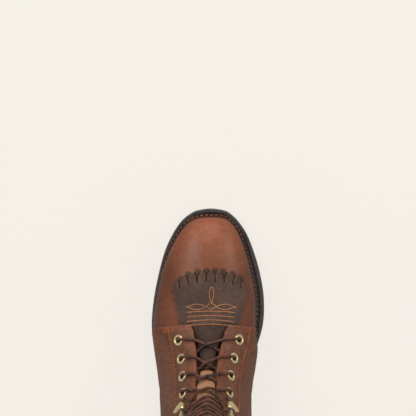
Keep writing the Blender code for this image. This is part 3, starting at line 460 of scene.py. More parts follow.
def spaced(start, end, pitch, bead=0.0007):
    # even places with finer ones within a bead of both ends, where an edge is rounded
    count = max(int(round(abs(end - start) / pitch)), 2)
    near = np.array([0.0, 0.12, 0.35, 0.65]) * bead
    way = 1 if end > start else -1
    middle = np.linspace(start + way * bead, end - way * bead, count)
    return np.concatenate([start + way * near, middle, end - way * near[::-1]])


def roundDrop(distance, bead=0.0007):
    # how far an edge rounded to a bead lies below the face
    short = bead - np.clip(distance, 0, bead)
    return bead - np.sqrt(bead * bead - short * short)


# Camera, floor and light

view = {"target": (0.0, -0.2715, 0.010), "distance": 1.85, "elevation": 84.0, "lens": 162.2, "sensor": 36.0}


def setCamera():
    tilt = math.radians(view["elevation"])
    back = Vector((0, -math.cos(tilt), math.sin(tilt)))
    turn = Matrix(((-1, 0, 0), (0, -math.sin(tilt), -math.cos(tilt)), (0, -math.cos(tilt), math.sin(tilt))))
    lens = bpy.data.cameras.new("camera")
    lens.lens, lens.sensor_width = view["lens"], view["sensor"]
    lens.clip_start, lens.clip_end = 0.05, 20.0
    made = linkObject("camera", lens)
    eye = Vector(view["target"]) + back * view["distance"]
    made.matrix_world = Matrix.Translation(eye) @ turn.transposed().to_4x4()
    bpy.context.scene.camera = made


def scaled(tree, value, low, high, fromLow=0.0, fromHigh=1.0):
    made = addNode(tree, "ShaderNodeMapRange", {"Value": value, "From Min": fromLow, "From Max": fromHigh,
                                                "To Min": low, "To Max": high})
    return made.outputs["Result"]


studio = {
    "size": 6.0, "drop": 0.0002, "floor": (0.105, 0.102, 0.096), "glow": (0.877, 0.852, 0.797),
    "glowSeen": 0.885,      # the floor's own light where the camera sees it
    "glowCast": 0.36,       # and where it falls on the boot
    "ambient": (1.0, 0.985, 0.96), "ambientStrength": 0.42, "lampColour": (1.0, 0.92, 0.84),
    # place, aim, width, height, watts
    "lamps": (
        ((0.62, -0.76, 1.00), (0.0, -0.22, 0.05), 0.50, 0.50, 7.0),
        ((-0.80, -0.66, 0.90), (0.0, -0.22, 0.05), 0.22, 0.62, 5.0),
        ((0.0, -1.50, 0.62), (0.0, -0.16, 0.10), 0.80, 0.50, 6.8),
        ((0.0, 0.80, 0.90), (0.0, -0.05, 0.12), 0.80, 0.60, 3.5),
    ),
}


def setStudio():
    made, tree, shader, _ = newMaterial("paleFloor")
    seen = addNode(tree, "ShaderNodeLightPath").outputs["Is Camera Ray"]
    setInputs(tree, shader, {
        "Base Color": (*studio["floor"], 1), "Roughness": 0.9, "Specular IOR Level": 0.1,
        "Emission Color": (*studio["glow"], 1),
        "Emission Strength": scaled(tree, seen, studio["glowCast"], studio["glowSeen"]),
    })
    mesh = bpy.data.meshes.new("floor")
    corners = [(x * studio["size"], y * studio["size"], -studio["drop"])
               for x, y in ((-1, -1), (1, -1), (1, 1), (-1, 1))]
    mesh.from_pydata(corners, [], [(0, 1, 2, 3)])
    mesh.materials.append(made)
    linkObject("floor", mesh)
    world = bpy.data.worlds.new("studio")
    world.use_nodes = True
    setInputs(world.node_tree, world.node_tree.nodes["Background"],
              {"Color": (*studio["ambient"], 1), "Strength": studio["ambientStrength"]})
    bpy.context.scene.world = world
    for k, (place, aim, wide, high, watts) in enumerate(studio["lamps"]):
        lamp = bpy.data.lights.new(f"softbox{k + 1}", "AREA")
        lamp.shape, lamp.size, lamp.size_y = "RECTANGLE", wide, high
        lamp.energy, lamp.color = watts, studio["lampColour"]
        held = linkObject(f"softbox{k + 1}", lamp)
        held.location = place
        held.rotation_euler = (Vector(aim) - Vector(place)).to_track_quat("-Z", "Y").to_euler()
    bpy.context.scene.view_settings.view_transform = "Standard"


setCamera()
setStudio()
print("camera and studio set")


# Shader groups

def leatherGroup():
    # grain of finished leather: pebbles, hair pores and slow tone changes
    tree = bpy.data.node_groups.new("leatherGrain", "ShaderNodeTree")
    addSockets(
        tree,
        [("Grain Scale", "NodeSocketFloat", 900.0), ("Pore Scale", "NodeSocketFloat", 2600.0),
         ("Cloud Scale", "NodeSocketFloat", 45.0)],
        [("Height", "NodeSocketFloat"), ("Cloud", "NodeSocketFloat"), ("Fleck", "NodeSocketFloat")],
    )
    given = addNode(tree, "NodeGroupInput")
    spot = addNode(tree, "ShaderNodeTexCoord").outputs["Object"]
    bend = noise(tree, spot, 260.0, 2.0)["Color"]
    shifted = addNode(tree, "ShaderNodeVectorMath", {0: bend, "Scale": 0.0009}, operation="SCALE").outputs[0]
    moved = addNode(tree, "ShaderNodeVectorMath", {0: spot, 1: shifted}, operation="ADD").outputs[0]
    pebble = addNode(tree, "ShaderNodeTexVoronoi", {"Vector": moved, "Scale": given.outputs["Grain Scale"]})
    pore = noise(tree, moved, given.outputs["Pore Scale"], 3.0)["Fac"]
    cloud = noise(tree, spot, given.outputs["Cloud Scale"], 5.0, roughness=0.6, distortion=0.4)["Fac"]
    fleck = noise(tree, moved, 320.0, 6.0, roughness=0.75)["Fac"]
    dome = maths(tree, "POWER", pebble.outputs["Distance"], 1.6)
    height = maths(tree, "MULTIPLY_ADD", pore, 0.5, maths(tree, "MULTIPLY_ADD", dome, -0.7, 1.0))
    addNode(tree, "NodeGroupOutput", {"Height": height, "Cloud": cloud, "Fleck": fleck})
    return tree


grainGroup = leatherGroup()


def colourRamp(tree, factor, stops):
    # stops: two places, each with its colour
    ramp = addNode(tree, "ShaderNodeValToRGB", {"Fac": factor})
    for element, (place, colour) in zip(ramp.color_ramp.elements, stops):
        element.position, element.color = place, (*colour, 1)
    return ramp.outputs["Color"]


def mixColour(tree, factor, first, second, kind="MIX"):
    made = addNode(tree, "ShaderNodeMix", data_type="RGBA", blend_type=kind)
    for socket, value in (("Factor_Float", factor), ("A_Color", first), ("B_Color", second)):
        into = next(s for s in made.inputs if s.identifier == socket)
        if isinstance(value, bpy.types.NodeSocket):
            tree.links.new(value, into)
        else:
            into.default_value = value if isinstance(value, float) else (*value, 1)
    return next(s for s in made.outputs if s.identifier == "Result_Color")


def leatherMaterial(name, look):
    # look: light and dark tones, a tone for worn edges and painted highlights, a deep tone for painted shade and
    # dark dye, roughness from and to, grain, bump and coat
    made, tree, shader, _ = newMaterial(name)
    scales = {title: look[title] for title in ("Grain Scale", "Cloud Scale") if title in look}
    grain = addNode(tree, "ShaderNodeGroup", node_tree=grainGroup)
    setInputs(tree, grain, scales)
    cloud, fleck, height = (grain.outputs[title] for title in ("Cloud", "Fleck", "Height"))
    tone = colourRamp(tree, cloud, [(0.34, look["dark"]), (0.66, look["light"])])
    speck = scaled(tree, fleck, 1 - look["fleck"], 1 + look["fleck"], 0.35, 0.65)
    specks = addNode(tree, "ShaderNodeCombineColor", {0: speck, 1: speck, 2: speck}).outputs[0]
    tone = mixColour(tree, 1.0, tone, specks, "MULTIPLY")
    # rubAndSheen mixes in worn edges and painted highlights; shadeAndDye mixes in painted shade, and on the welt its
    # own black
    rubAndSheen, dim = (addNode(tree, "ShaderNodeAttribute", attribute_name=title).outputs["Fac"]
                for title in ("rubAndSheen", "shadeAndDye"))
    wornAndSheen = maths(tree, "MULTIPLY", rubAndSheen, scaled(tree, fleck, 0.2, 1.3, 0.3, 0.7), use_clamp=True)
    tone = mixColour(tree, wornAndSheen, tone, look["wornAndSheen"])
    setInputs(tree, shader, {
        "Base Color": mixColour(tree, dim, tone, look["deep"]),
        "Roughness": scaled(tree, cloud, *look["roughness"], 0.3, 0.7),
        "Normal": bumped(tree, height, look["bump"], 0.0003),
        "Specular IOR Level": look.get("specular", 0.5), "Coat Weight": look.get("coat", 0.0),
        "Coat Roughness": 0.35,
    })
    made.diffuse_color = (*look["light"], 1)
    return made


leathers = {
    # the vamp's wornAndSheen tone is the colour of its painted highlight along the welt
    "vamp": {"light": (0.275, 0.092, 0.047), "dark": (0.205, 0.066, 0.033), "wornAndSheen": (0.52, 0.24, 0.12),
             "deep": (0.045, 0.016, 0.009), "roughness": (0.38, 0.50), "fleck": 0.18, "bump": 0.16,
             "specular": 0.25, "coat": 0.03},
    "quarter": {"light": (0.168, 0.064, 0.036), "dark": (0.108, 0.043, 0.026), "wornAndSheen": (0.30, 0.11, 0.05),
                "deep": (0.030, 0.012, 0.008), "roughness": (0.46, 0.62), "fleck": 0.34, "bump": 0.42,
                "specular": 0.34, "Cloud Scale": 70.0},
    "stay": {"light": (0.188, 0.070, 0.039), "dark": (0.096, 0.038, 0.023), "wornAndSheen": (0.32, 0.12, 0.055),
             "deep": (0.030, 0.012, 0.008), "roughness": (0.42, 0.58), "fleck": 0.30, "bump": 0.75,
             "specular": 0.34, "Grain Scale": 620.0, "Cloud Scale": 90.0},
    "kiltie": {"light": (0.088, 0.054, 0.041), "dark": (0.052, 0.033, 0.026), "wornAndSheen": (0.20, 0.085, 0.045),
               "deep": (0.014, 0.008, 0.006), "roughness": (0.66, 0.80), "fleck": 0.26, "bump": 0.4,
               "specular": 0.22},
    "tongue": {"light": (0.39, 0.215, 0.112), "dark": (0.27, 0.143, 0.074), "wornAndSheen": (0.45, 0.28, 0.17),
               "deep": (0.07, 0.032, 0.018), "roughness": (0.5, 0.66), "fleck": 0.12, "bump": 0.35,
               "specular": 0.3},
    "lining": {"light": (0.33, 0.20, 0.12), "dark": (0.22, 0.13, 0.08), "wornAndSheen": (0.35, 0.22, 0.13),
               "deep": (0.08, 0.04, 0.025), "roughness": (0.65, 0.8), "fleck": 0.12, "bump": 0.25},
    "cutEdge": {"light": (0.060, 0.024, 0.014), "dark": (0.030, 0.013, 0.009), "wornAndSheen": (0.15, 0.06, 0.03),
                "deep": (0.02, 0.01, 0.008), "roughness": (0.55, 0.7), "fleck": 0.25, "bump": 0.4},
    "weltLeather": {"light": (0.078, 0.070, 0.074), "dark": (0.040, 0.035, 0.036), "wornAndSheen": (0.130, 0.048, 0.024),
                    "deep": (0.006, 0.004, 0.004), "roughness": (0.45, 0.62), "fleck": 0.3, "bump": 0.5},
    "heelStack": {"light": (0.060, 0.032, 0.022), "dark": (0.028, 0.016, 0.012), "wornAndSheen": (0.10, 0.05, 0.03),
                  "deep": (0.008, 0.005, 0.004), "roughness": (0.38, 0.52), "fleck": 0.3, "bump": 0.3},
}
leather = {name: leatherMaterial(name, look) for name, look in leathers.items()}


def linedWith(face):
    # materials of a wall: its face, its lining and its cut edge
    return [leather[face], leather["lining"], leather["cutEdge"]]


def threadMaterial(name, light, dark, scale=1500.0):
    made, tree, shader, spot = newMaterial(name)
    fibre = noise(tree, spot, scale, 3.0)["Fac"]
    both = maths(tree, "ADD", fibre, noise(tree, spot, 140.0, 2.0)["Fac"])
    setInputs(tree, shader, {
        "Base Color": colourRamp(tree, scaled(tree, both, 0, 1, 0.75, 1.25), [(0.0, dark), (1.0, light)]),
        "Normal": bumped(tree, fibre, 0.5, 0.0002), "Roughness": 0.7,
    })
    return made


rustThread = threadMaterial("rustThread", (0.40, 0.120, 0.036), (0.16, 0.046, 0.016))
weltThread = threadMaterial("weltThread", (0.40, 0.140, 0.055), (0.16, 0.052, 0.022))
paleThread = threadMaterial("paleThread", (0.70, 0.30, 0.125), (0.42, 0.165, 0.065))
laceFibre = threadMaterial("laceFibre", (0.150, 0.055, 0.032), (0.010, 0.006, 0.005), 900.0)


def rubberMaterial(name, light, dark):
    made, tree, shader, spot = newMaterial(name)
    haze = noise(tree, spot, 130.0, 6.0, roughness=0.7)["Fac"]
    setInputs(tree, shader, {
        "Base Color": colourRamp(tree, haze, [(0.35, dark), (0.7, light)]),
        "Roughness": scaled(tree, haze, 0.45, 0.62, 0.3, 0.7),
        "Normal": bumped(tree, noise(tree, spot, 2200.0, 2.0)["Fac"], 0.3, 0.0002),
    })
    return made


soleRubber = rubberMaterial("soleRubber", (0.078, 0.070, 0.072), (0.030, 0.026, 0.026))
liftRubber = rubberMaterial("liftRubber", (0.035, 0.033, 0.033), (0.015, 0.014, 0.014))


def brassMaterial():
    made, tree, shader, spot = newMaterial("agedBrass")
    stain = noise(tree, spot, 420.0, 5.0, roughness=0.65)["Fac"]
    setInputs(tree, shader, {
        "Base Color": colourRamp(tree, stain, [(0.30, (0.38, 0.30, 0.13)), (0.55, (0.86, 0.75, 0.43))]),
        "Roughness": scaled(tree, stain, 0.46, 0.26, 0.3, 0.7), "Metallic": 0.85,
    })
    return made


brass = brassMaterial()
print("materials made")


# Stitching: rows of thread set along paths by Geometry Nodes

def stitchTree():
    tree = bpy.data.node_groups.new("stitchRow", "GeometryNodeTree")
    addSockets(
        tree,
        [("Geometry", "NodeSocketGeometry", None), ("Pitch", "NodeSocketFloat", 0.003),
         ("Length", "NodeSocketFloat", 0.0024), ("Thickness", "NodeSocketFloat", 0.0008),
         ("Slant", "NodeSocketFloat", 0.0), ("Wobble", "NodeSocketFloat", 0.06),
         ("Thread", "NodeSocketMaterial", None)],
        [("Geometry", "NodeSocketGeometry")],
    )
    given = addNode(tree, "NodeGroupInput").outputs
    curve = addNode(tree, "GeometryNodeMeshToCurve", {"Mesh": given["Geometry"]}).outputs[0]
    evenly = addNode(tree, "GeometryNodeResampleCurve", {"Curve": curve, "Length": given["Pitch"]}, mode="LENGTH")
    out = addNode(tree, "GeometryNodeInputNamedAttribute", {"Name": "out"}, data_type="FLOAT_VECTOR")
    tangent = addNode(tree, "GeometryNodeInputTangent").outputs[0]
    along = addNode(tree, "FunctionNodeAlignRotationToVector", {"Vector": tangent}, axis="X")
    up = addNode(tree, "FunctionNodeAlignRotationToVector",
                 {"Rotation": along.outputs[0], "Vector": out.outputs["Attribute"]}, axis="Z", pivot_axis="X")
    shake = addNode(tree, "FunctionNodeRandomValue", {"Seed": 7}, data_type="FLOAT")
    for socket in shake.inputs:
        if socket.type == "VALUE" and socket.name in ("Min", "Max"):
            socket.default_value = -1.0 if socket.name == "Min" else 1.0
    shaken = next(s for s in shake.outputs if s.type == "VALUE" and s.enabled)
    turn = maths(tree, "MULTIPLY_ADD", shaken, given["Wobble"], given["Slant"])
    euler = addNode(tree, "ShaderNodeCombineXYZ", {"Z": turn})
    turned = addNode(tree, "FunctionNodeRotateRotation", {"Rotation": up.outputs[0], "Rotate By": euler.outputs[0]},
                     rotation_space="LOCAL")
    half, thin = (maths(tree, "MULTIPLY", given[title], 0.5) for title in ("Length", "Thickness"))
    size = addNode(tree, "ShaderNodeCombineXYZ", {"X": half, "Y": thin, "Z": thin})
    bead = addNode(tree, "GeometryNodeMeshUVSphere", {"Segments": 6, "Rings": 6, "Radius": 1.0})
    lying = addNode(tree, "GeometryNodeTransform",
                    {"Geometry": bead.outputs["Mesh"], "Rotation": (0, math.pi / 2, 0)})
    smooth = addNode(tree, "GeometryNodeSetShadeSmooth", {"Geometry": lying.outputs[0]})
    placed = addNode(tree, "GeometryNodeInstanceOnPoints", {
        "Points": evenly.outputs[0], "Instance": smooth.outputs[0],
        "Rotation": turned.outputs[0], "Scale": size.outputs[0],
    })
    real = addNode(tree, "GeometryNodeRealizeInstances", {"Geometry": placed.outputs[0]})
    threaded = addNode(tree, "GeometryNodeSetMaterial", {"Geometry": real.outputs[0], "Material": given["Thread"]})
    addNode(tree, "NodeGroupOutput", {"Geometry": threaded.outputs[0]})
    return tree


stitchRow = stitchTree()


def stitchPiece(name, paths, look, slot):
    # paths: pairs of points and outward directions
    points = np.concatenate([p for p, _ in paths])
    outs = np.concatenate([o for _, o in paths])
    edges, start = [], 0
    for spots, _ in paths:
        edges += [(start + k, start + k + 1) for k in range(len(spots) - 1)]
        start += len(spots)
    mesh = bpy.data.meshes.new(name)
    mesh.from_pydata([tuple(p) for p in points], edges, [])
    held = mesh.attributes.new("out", "FLOAT_VECTOR", "POINT")
    held.data.foreach_set("vector", outs.astype(np.float32).ravel())
    piece = linkObject(name, mesh)
    modifier = piece.modifiers.new("stitches", "NODES")
    modifier.node_group = stitchRow
    for item in stitchRow.interface.items_tree:
        if item.in_out == "INPUT" and item.name in look:
            modifier[item.identifier] = look[item.name]
    return finishPiece(settle(piece), slot)


def pathOnLast(rows, runs, offset):
    return onLast(rows, runs, offset, outward=True)


# Upper: vamp, quarters and eyelet stays

upperLook = {
    "vampPitch": 0.0013, "quarterPitch": 0.0013, "stayPitch": 0.0011,    # spacing of the meshes
    "seamTuck": 0.10,       # rows of vamp hidden under the quarters
    "stitchGroove": 0.00030, "grooveWidth": 0.0011,
    "rubWidth": 0.0022,     # how far a worn edge reaches
    # painted shade on the vamp: where it starts ahead of the seam, how many rows it ramps over, and its depth there
    # and down the sides
    "shadeAhead": 0.050,       # where the vamp darkens ahead of the seam
    "shadeRows": 2.2, "shadeDepth": 0.50, "sideDepth": 0.45, "darkest": 0.82,
    "lip": 0.0004, "lipAt": 0.0016, "lipWidth": 0.0012,     # the vamp rolls in to the welt
    # painted highlight: a bright line along the welt, where light catches the vamp's roll
    "sheenAt": 0.0022, "sheenWidth": 0.0011, "sheen": 0.9,
    "backRidge": 0.0005, "backWidth": 0.0009, "backDark": 0.5, "backDarkWidth": 0.0012,
    "edgeRub": 0.45, "backRub": 0.25, "backRubWidth": 0.003,
    "besideStay": 0.0006, "besideDark": 0.65, "besideWidth": 0.0009,     # shadow along the stay
    # stayDark and stayDarkWidth: painted shade in the groove by the rope stitches
    "swell": 0.00035, "stayRub": 0.5, "stayRubWidth": 0.0009, "stayDark": 0.55, "stayDarkWidth": 0.0011,
}

# creases as row, run at one end, run at the other, bend of the row between, depth, half width in rows
creases = (
    (8.45, 0.036, 0.070, 0.35, 0.00045, 0.16),
    (8.95, 0.040, 0.074, 0.30, 0.00055, 0.18),
    (8.60, -0.036, -0.066, 0.35, 0.00045, 0.16),
    (9.10, -0.040, -0.070, 0.30, 0.00050, 0.18),
    (11.3, 0.046, 0.080, 0.60, 0.0006, 0.26),
    (11.5, -0.044, -0.078, 0.60, 0.0006, 0.26),
    (13.6, 0.050, 0.092, -0.50, 0.0007, 0.32),
    (13.9, -0.048, -0.090, -0.50, 0.0007, 0.32),
    (17.2, 0.050, 0.100, -0.8, 0.0010, 0.50),
    (18.9, 0.048, 0.104, -0.7, 0.0012, 0.60),
    (17.6, -0.048, -0.098, -0.8, 0.0010, 0.50),
    (19.3, -0.048, -0.102, -0.7, 0.0012, 0.60),
    (23.2, 0.060, 0.128, 0.3, 0.0009, 0.35),
    (23.8, -0.058, -0.122, 0.3, 0.0009, 0.35),
    (25.6, 0.055, 0.110, -0.3, 0.0008, 0.40),
    (25.2, -0.060, -0.115, -0.3, 0.0008, 0.40),
)


def creaseDepth(row, run):
    # soft troughs with a low ridge on each side
    depth = np.zeros(np.broadcast(row, run).shape)
    for middle, near, far, bend, deep, width in creases:
        way = (run - near) / (far - near)
        inside = np.sin(math.pi * np.clip(way, 0, 1)) ** 1.2
        off = (row - middle - bend * way * way) / width
        depth -= deep * inside * np.exp(-off * off) * (1 - 0.9 * off * off)
    return depth


def rowsSpaced(start, end, pitch, run, bead=0.0007):
    # rows at an even distance measured along a run, with finer ones at both ends
    fine = np.linspace(start, end, 1200)
    gone = lengthsAlong(onLast(fine, np.clip(run, -girthAt(fine, run), girthAt(fine, run))))
    return np.interp(spaced(0, gone[-1], pitch, bead), gone, fine)


def buildVamp():
    look = upperLook
    rows = rowsSpaced(0.0, seamRow + look["seamTuck"], look["vampPitch"], 0.0)
    rows = np.unique(np.concatenate([np.linspace(0, 1, 24), rows]))
    shares = np.linspace(-1, 1, 171)
    runs = np.where(shares < 0, girthAt(rows, -1)[:, None], girthAt(rows, 1)[:, None]) * shares
    grid = np.broadcast_to(rows[:, None], runs.shape)
    toFeather = (1 - np.abs(shares)) * np.abs(girthAt(rows, 1))[:, None]
    lip = look["lip"] * hump(toFeather - look["lipAt"], look["lipWidth"])
    outer = creaseDepth(grid, runs) - lip
    top = onLast(grid, runs, outer * ease(grid / 1.5))
    low = onLast(grid, runs, -last["wall"])
    low[:, [0, -1], 2] = np.maximum(low[:, [0, -1], 2], top[:, [0, -1], 2])
    dark = float(ridgeRows(look["shadeAhead"], forward=False)) - 2.0
    # painted highlight: a thin bright line along the welt, where light catches the vamp's roll
    rubAndSheen = hump(toFeather - look["sheenAt"], look["sheenWidth"]) * look["sheen"]
    # painted shade: darker from the row found above towards the kiltie's fringe, and down the vamp's sides
    shadeAndDye = look["shadeDepth"] * ease((grid - dark) / look["shadeRows"])
    shadeAndDye = shadeAndDye + look["sideDepth"] * ease((np.abs(shares) - 0.30) / 0.55)
    shadeAndDye = look["darkest"] * np.clip(shadeAndDye, 0, 1)
    piece = wallPiece("vamp", top, low, linedWith("vamp"), {"rubAndSheen": rubAndSheen, "shadeAndDye": shadeAndDye})
    return finishPiece(piece, "leather", "upper")


seamStitch = {"lines": (0.0022, 0.0048)}
stayStitch = {"edge": 0.0026, "outer": 0.0018}
stayFlare = {"rows": (10, 11, 15.4, 20, 28), "outer": (-0.0050, -0.0044, -0.0022, 0.0, 0.0),
             "inner": (-0.0026, -0.0018, 0.0032, 0.002, 0.0)}


def stitchGroove(away):
    return upperLook["stitchGroove"] * hump(away, upperLook["grooveWidth"])


def buildQuarter(side, word):
    look = upperLook
    rows = rowsSpaced(seamRow, collarRow, look["quarterPitch"], side * 0.05)
    shares = spaced(0.0, 1.0, 1 / 96, 0.007)
    throat, girth = throatHalf(rows)[:, None], girthAt(rows, side)[:, None] - 0.00005
    runs = side * (throat + (girth - throat) * shares)
    grid = np.broadcast_to(rows[:, None], runs.shape)
    toThroat, toBack = np.abs(runs) - throat, girth - np.abs(runs)
    gone = lengthsAlong(onLast(grid, runs))
    toSeam, toCollar = gone, gone[-1] - gone
    outer = last["quarterStep"] + creaseDepth(grid, runs) - roundDrop(toThroat)
    outer = outer - look["backRidge"] * hump(toBack, look["backWidth"]) * (grid > heelRow)
    outer = outer - roundDrop(toSeam) - roundDrop(toCollar)
    for line in seamStitch["lines"]:
        outer = outer - stitchGroove(toSeam - line)
    top = onLast(grid, runs, outer)
    low = onLast(grid, runs, -last["wall"] + roundDrop(toCollar))
    foot = grid[:, -1] <= heelRow
    low[foot, -1, 2] = np.maximum(low[foot, -1, 2], top[foot, -1, 2])
    edge = np.minimum(toSeam, np.minimum(toThroat, toCollar))
    rubAndSheen = look["edgeRub"] * fading(edge, look["rubWidth"]) + look["backRub"] * fading(toBack, look["backRubWidth"])
    # darker along the back edge; a painted shadow on the quarter beside the stay's edge
    toStay = toThroat - stayWidthAt(rows, side)[:, None] - look["besideStay"]
    shadeAndDye = look["backDark"] * fading(toBack, look["backDarkWidth"])
    shadeAndDye = shadeAndDye + look["besideDark"] * hump(toStay, look["besideWidth"])
    shadeAndDye = np.clip(shadeAndDye, 0, 1)
    return wallPiece(f"quarter.{word}", top, low, linedWith("quarter"), {"rubAndSheen": rubAndSheen, "shadeAndDye": shadeAndDye})


def stayWidthAt(row, side):
    # the stays flare unevenly, as the leather was cut
    return last["stayWidth"] + np.interp(row, stayFlare["rows"], stayFlare["outer" if side > 0 else "inner"])


def buildStay(side, word):
    look = upperLook
    rows = rowsSpaced(seamRow + 0.01, collarRow - 0.02, look["stayPitch"], side * 0.03)
    width = stayWidthAt(rows, side)[:, None]
    places = spaced(0.0, last["stayWidth"], look["stayPitch"]) * width / last["stayWidth"]
    throat = throatHalf(rows)[:, None] + 0.0003
    runs = side * (throat + places)
    grid = np.broadcast_to(rows[:, None], runs.shape)
    gone = lengthsAlong(onLast(grid, runs))
    ends = np.minimum(gone, gone[-1] - gone)
    sides = np.minimum(places, width - places)
    outer = last["quarterStep"] + last["stayStep"] + creaseDepth(grid, runs) - roundDrop(sides) - roundDrop(ends)
    for line in (stayStitch["edge"], width - stayStitch["outer"]):
        outer = outer - stitchGroove(places - line)
    swell = look["swell"] * np.sin(np.pi * np.clip(places / width, 0, 1)) ** 0.5
    top = onLast(grid, runs, outer + swell)
    low = onLast(grid, runs, last["quarterStep"] - 0.0006)
    rubAndSheen = look["stayRub"] * fading(np.minimum(sides, ends), look["stayRubWidth"])
    # painted shade in the groove along the rope stitch row; the worn edges are left out of it
    toRope = places - width + stayStitch["outer"]
    shadeAndDye = look["stayDark"] * hump(toRope, look["stayDarkWidth"]) + grid * 0
    return wallPiece(f"stay.{word}", top, low, [leather["stay"], leather["cutEdge"], leather["cutEdge"]],
                     {"rubAndSheen": rubAndSheen * (1 - shadeAndDye), "shadeAndDye": shadeAndDye})


hardware = {
    "lace": 0.0026, "flange": 0.0107, "bore": 0.0054, "sheet": 0.0006, "crown": 0.0010, "eyelets": 4, "hooks": 6,
    "topHook": 0.0100, "first": 0.0165, "inset": 0.0170, "hookWidth": 0.0080, "hookReach": 0.0130,
    "hookMouth": 0.0042, "hookSheet": 0.0011,
}
proudOfStay = last["quarterStep"] + last["stayStep"]
laceRows = hardware["eyelets"] + hardware["hooks"]


def stayRun(row, side):
    return side * (throatHalf(row) + hardware["inset"])


def lacingRows(side):
    distances = hardware["first"] + lacePitch(side) * np.arange(laceRows)
    return rowsAlong(distances, lambda row: stayRun(row, side), seamRow)


def lacePitch(side):
    rows = np.linspace(seamRow, collarRow, 900)
    length = lengthsAlong(onLast(rows, stayRun(rows, side)))[-1]
    return (length - hardware["first"] - hardware["topHook"]) / (laceRows - 1)


lacing = {side: lacingRows(side) for side in (1, -1)}
lacingPitch = lacePitch(1)


def stayFrame(row, side, offset):
    # X towards the gap on the inner side, Y up the boot, Z out of the leather
    at, out = onLast(row, stayRun(row, side), offset, outward=True)
    up = onLast(row + 0.2, stayRun(row + 0.2, side)) - onLast(row - 0.2, stayRun(row - 0.2, side))
    out = Vector(out).normalized()
    up = Vector(up)
    up = (up - out * up.dot(out)).normalized()
    made = Matrix((up.cross(out), up, out)).transposed().to_4x4()
    made.translation = Vector(at)
    return made


def cutHoles(piece, side):
    radius = hardware["bore"] / 2 + hardware["sheet"] * 0.5
    points, faces, steps = [], [], 24
    for row in lacing[side][:hardware["eyelets"]]:
        turn = stayFrame(row, side, 0.0)
        base = len(points)
        for z in (-0.006, 0.006):
            for angle in 2 * math.pi * np.arange(steps) / steps:
                points.append(turn @ Vector((radius * math.cos(angle), radius * math.sin(angle), z)))
        faces += [[base + k for k in face] for face in tubeFaces(steps, 2)]
    punch = meshObject("punch", points, faces, [leather["cutEdge"]])
    cut = piece.modifiers.new("holes", "BOOLEAN")
    cut.operation, cut.object, cut.solver = "DIFFERENCE", punch, "EXACT"
    cut.material_mode = "TRANSFER"
    settle(piece)
    bpy.data.objects.remove(punch, do_unlink=True)
    return piece


buildVamp()
bothSides = ((1, "outer"), (-1, "inner"))
for side, word in bothSides:
    finishPiece(cutHoles(buildQuarter(side, word), side), "leather")
    finishPiece(cutHoles(buildStay(side, word), side), "leather")
print("upper built")


# Stitch rows of the upper

def seamPath(side, distance):
    runs = np.linspace(throatHalf(seamRow) + 0.004, girthAt(seamRow, side) - 0.0025, 80) * side
    rows = []
    for run in runs:
        near = np.linspace(seamRow, seamRow + 1.2, 40)
        rows.append(np.interp(distance, lengthsAlong(onLast(near, np.full(40, run))), near))
    return np.array(rows), runs


def onStay(runs, rows, side):
    # how much higher the leather is where a stay lies on the quarter
    return last["stayStep"] * (np.abs(runs) < throatHalf(rows) + stayWidthAt(rows, side))


upperThreads = {
    "lift": 0.0001, "ropeLift": 0.00035, "tackLift": 0.0003, "tackApart": 0.0007, "tackRows": (0.10, 0.42),
    "tacks": {1: (0.0370, 0.0425, 0.0475), -1: (0.0400, 0.0440, 0.0480)},
    "collarLines": (0.0030, 0.0056), "rowLength": 0.0105, "backLine": 0.0028, "sideRun": 0.062, "sideLean": 0.002,
    "fine": {"Pitch": 0.0030, "Length": 0.0023, "Thickness": 0.0010, "Slant": 0.10, "Wobble": 0.10},
    "rope": {"Pitch": 0.0031, "Length": 0.0052, "Thickness": 0.0015, "Slant": 0.72, "Wobble": 0.12},
    "tack": {"Pitch": 0.0009, "Length": 0.0026, "Thickness": 0.0010, "Slant": 1.35, "Wobble": 0.25},
}


def upperStitches():
    look = upperThreads
    fine, rope, tacks = [], [], []
    height = last["quarterStep"] + look["lift"]
    for side, _ in bothSides:
        for line in seamStitch["lines"]:
            rows, runs = seamPath(side, line)
            fine.append(pathOnLast(rows, runs, height + onStay(runs, rows, side)))
        rows = np.linspace(seamRow + 0.14, collarRow - 0.12, 300)
        fine.append(pathOnLast(rows, side * (throatHalf(rows) + stayStitch["edge"]), proudOfStay + look["lift"]))
        line = side * (throatHalf(rows) + stayWidthAt(rows, side) - stayStitch["outer"])
        rope.append(pathOnLast(rows, line, proudOfStay + look["ropeLift"]))
        down = np.linspace(seamRow + 0.35, seamRow + 1.6, 30)
        fine.append(pathOnLast(down, side * (look["sideRun"] - look["sideLean"] * (down - seamRow)), height))
        start, end = throatHalf(collarRow) + last["stayWidth"] + 0.003, girthAt(collarRow, side) - 0.002
        runs = side * np.linspace(start, end, 90)
        for drop in look["collarLines"]:
            fine.append(pathOnLast(0 * runs + collarRow - drop / look["rowLength"], runs, height))
        rows = np.linspace(heelRow + 0.6, collarRow - 0.8, 160)
        fine.append(pathOnLast(rows, side * (girthAt(rows, side) - look["backLine"]), height))
        rows = seamRow + np.linspace(*look["tackRows"], 12)
        for run in look["tacks"][side]:
            lift = last["quarterStep"] + look["tackLift"] + onStay(run - 0.001, rows, side)
            for shift in (-look["tackApart"], look["tackApart"]):
                tacks.append(pathOnLast(rows, side * (run + shift + 0 * rows), lift))
    made = (("barTacks", tacks, "tack"), ("seamStitches", fine, "fine"), ("stayStitches", rope, "rope"))
    for name, paths, kind in made:
        stitchPiece(name, paths, {**look[kind], "Thread": rustThread}, "leather")


upperStitches()
print("upper stitched")


# Tongue: tan leather that bulges between the crossings of the lace

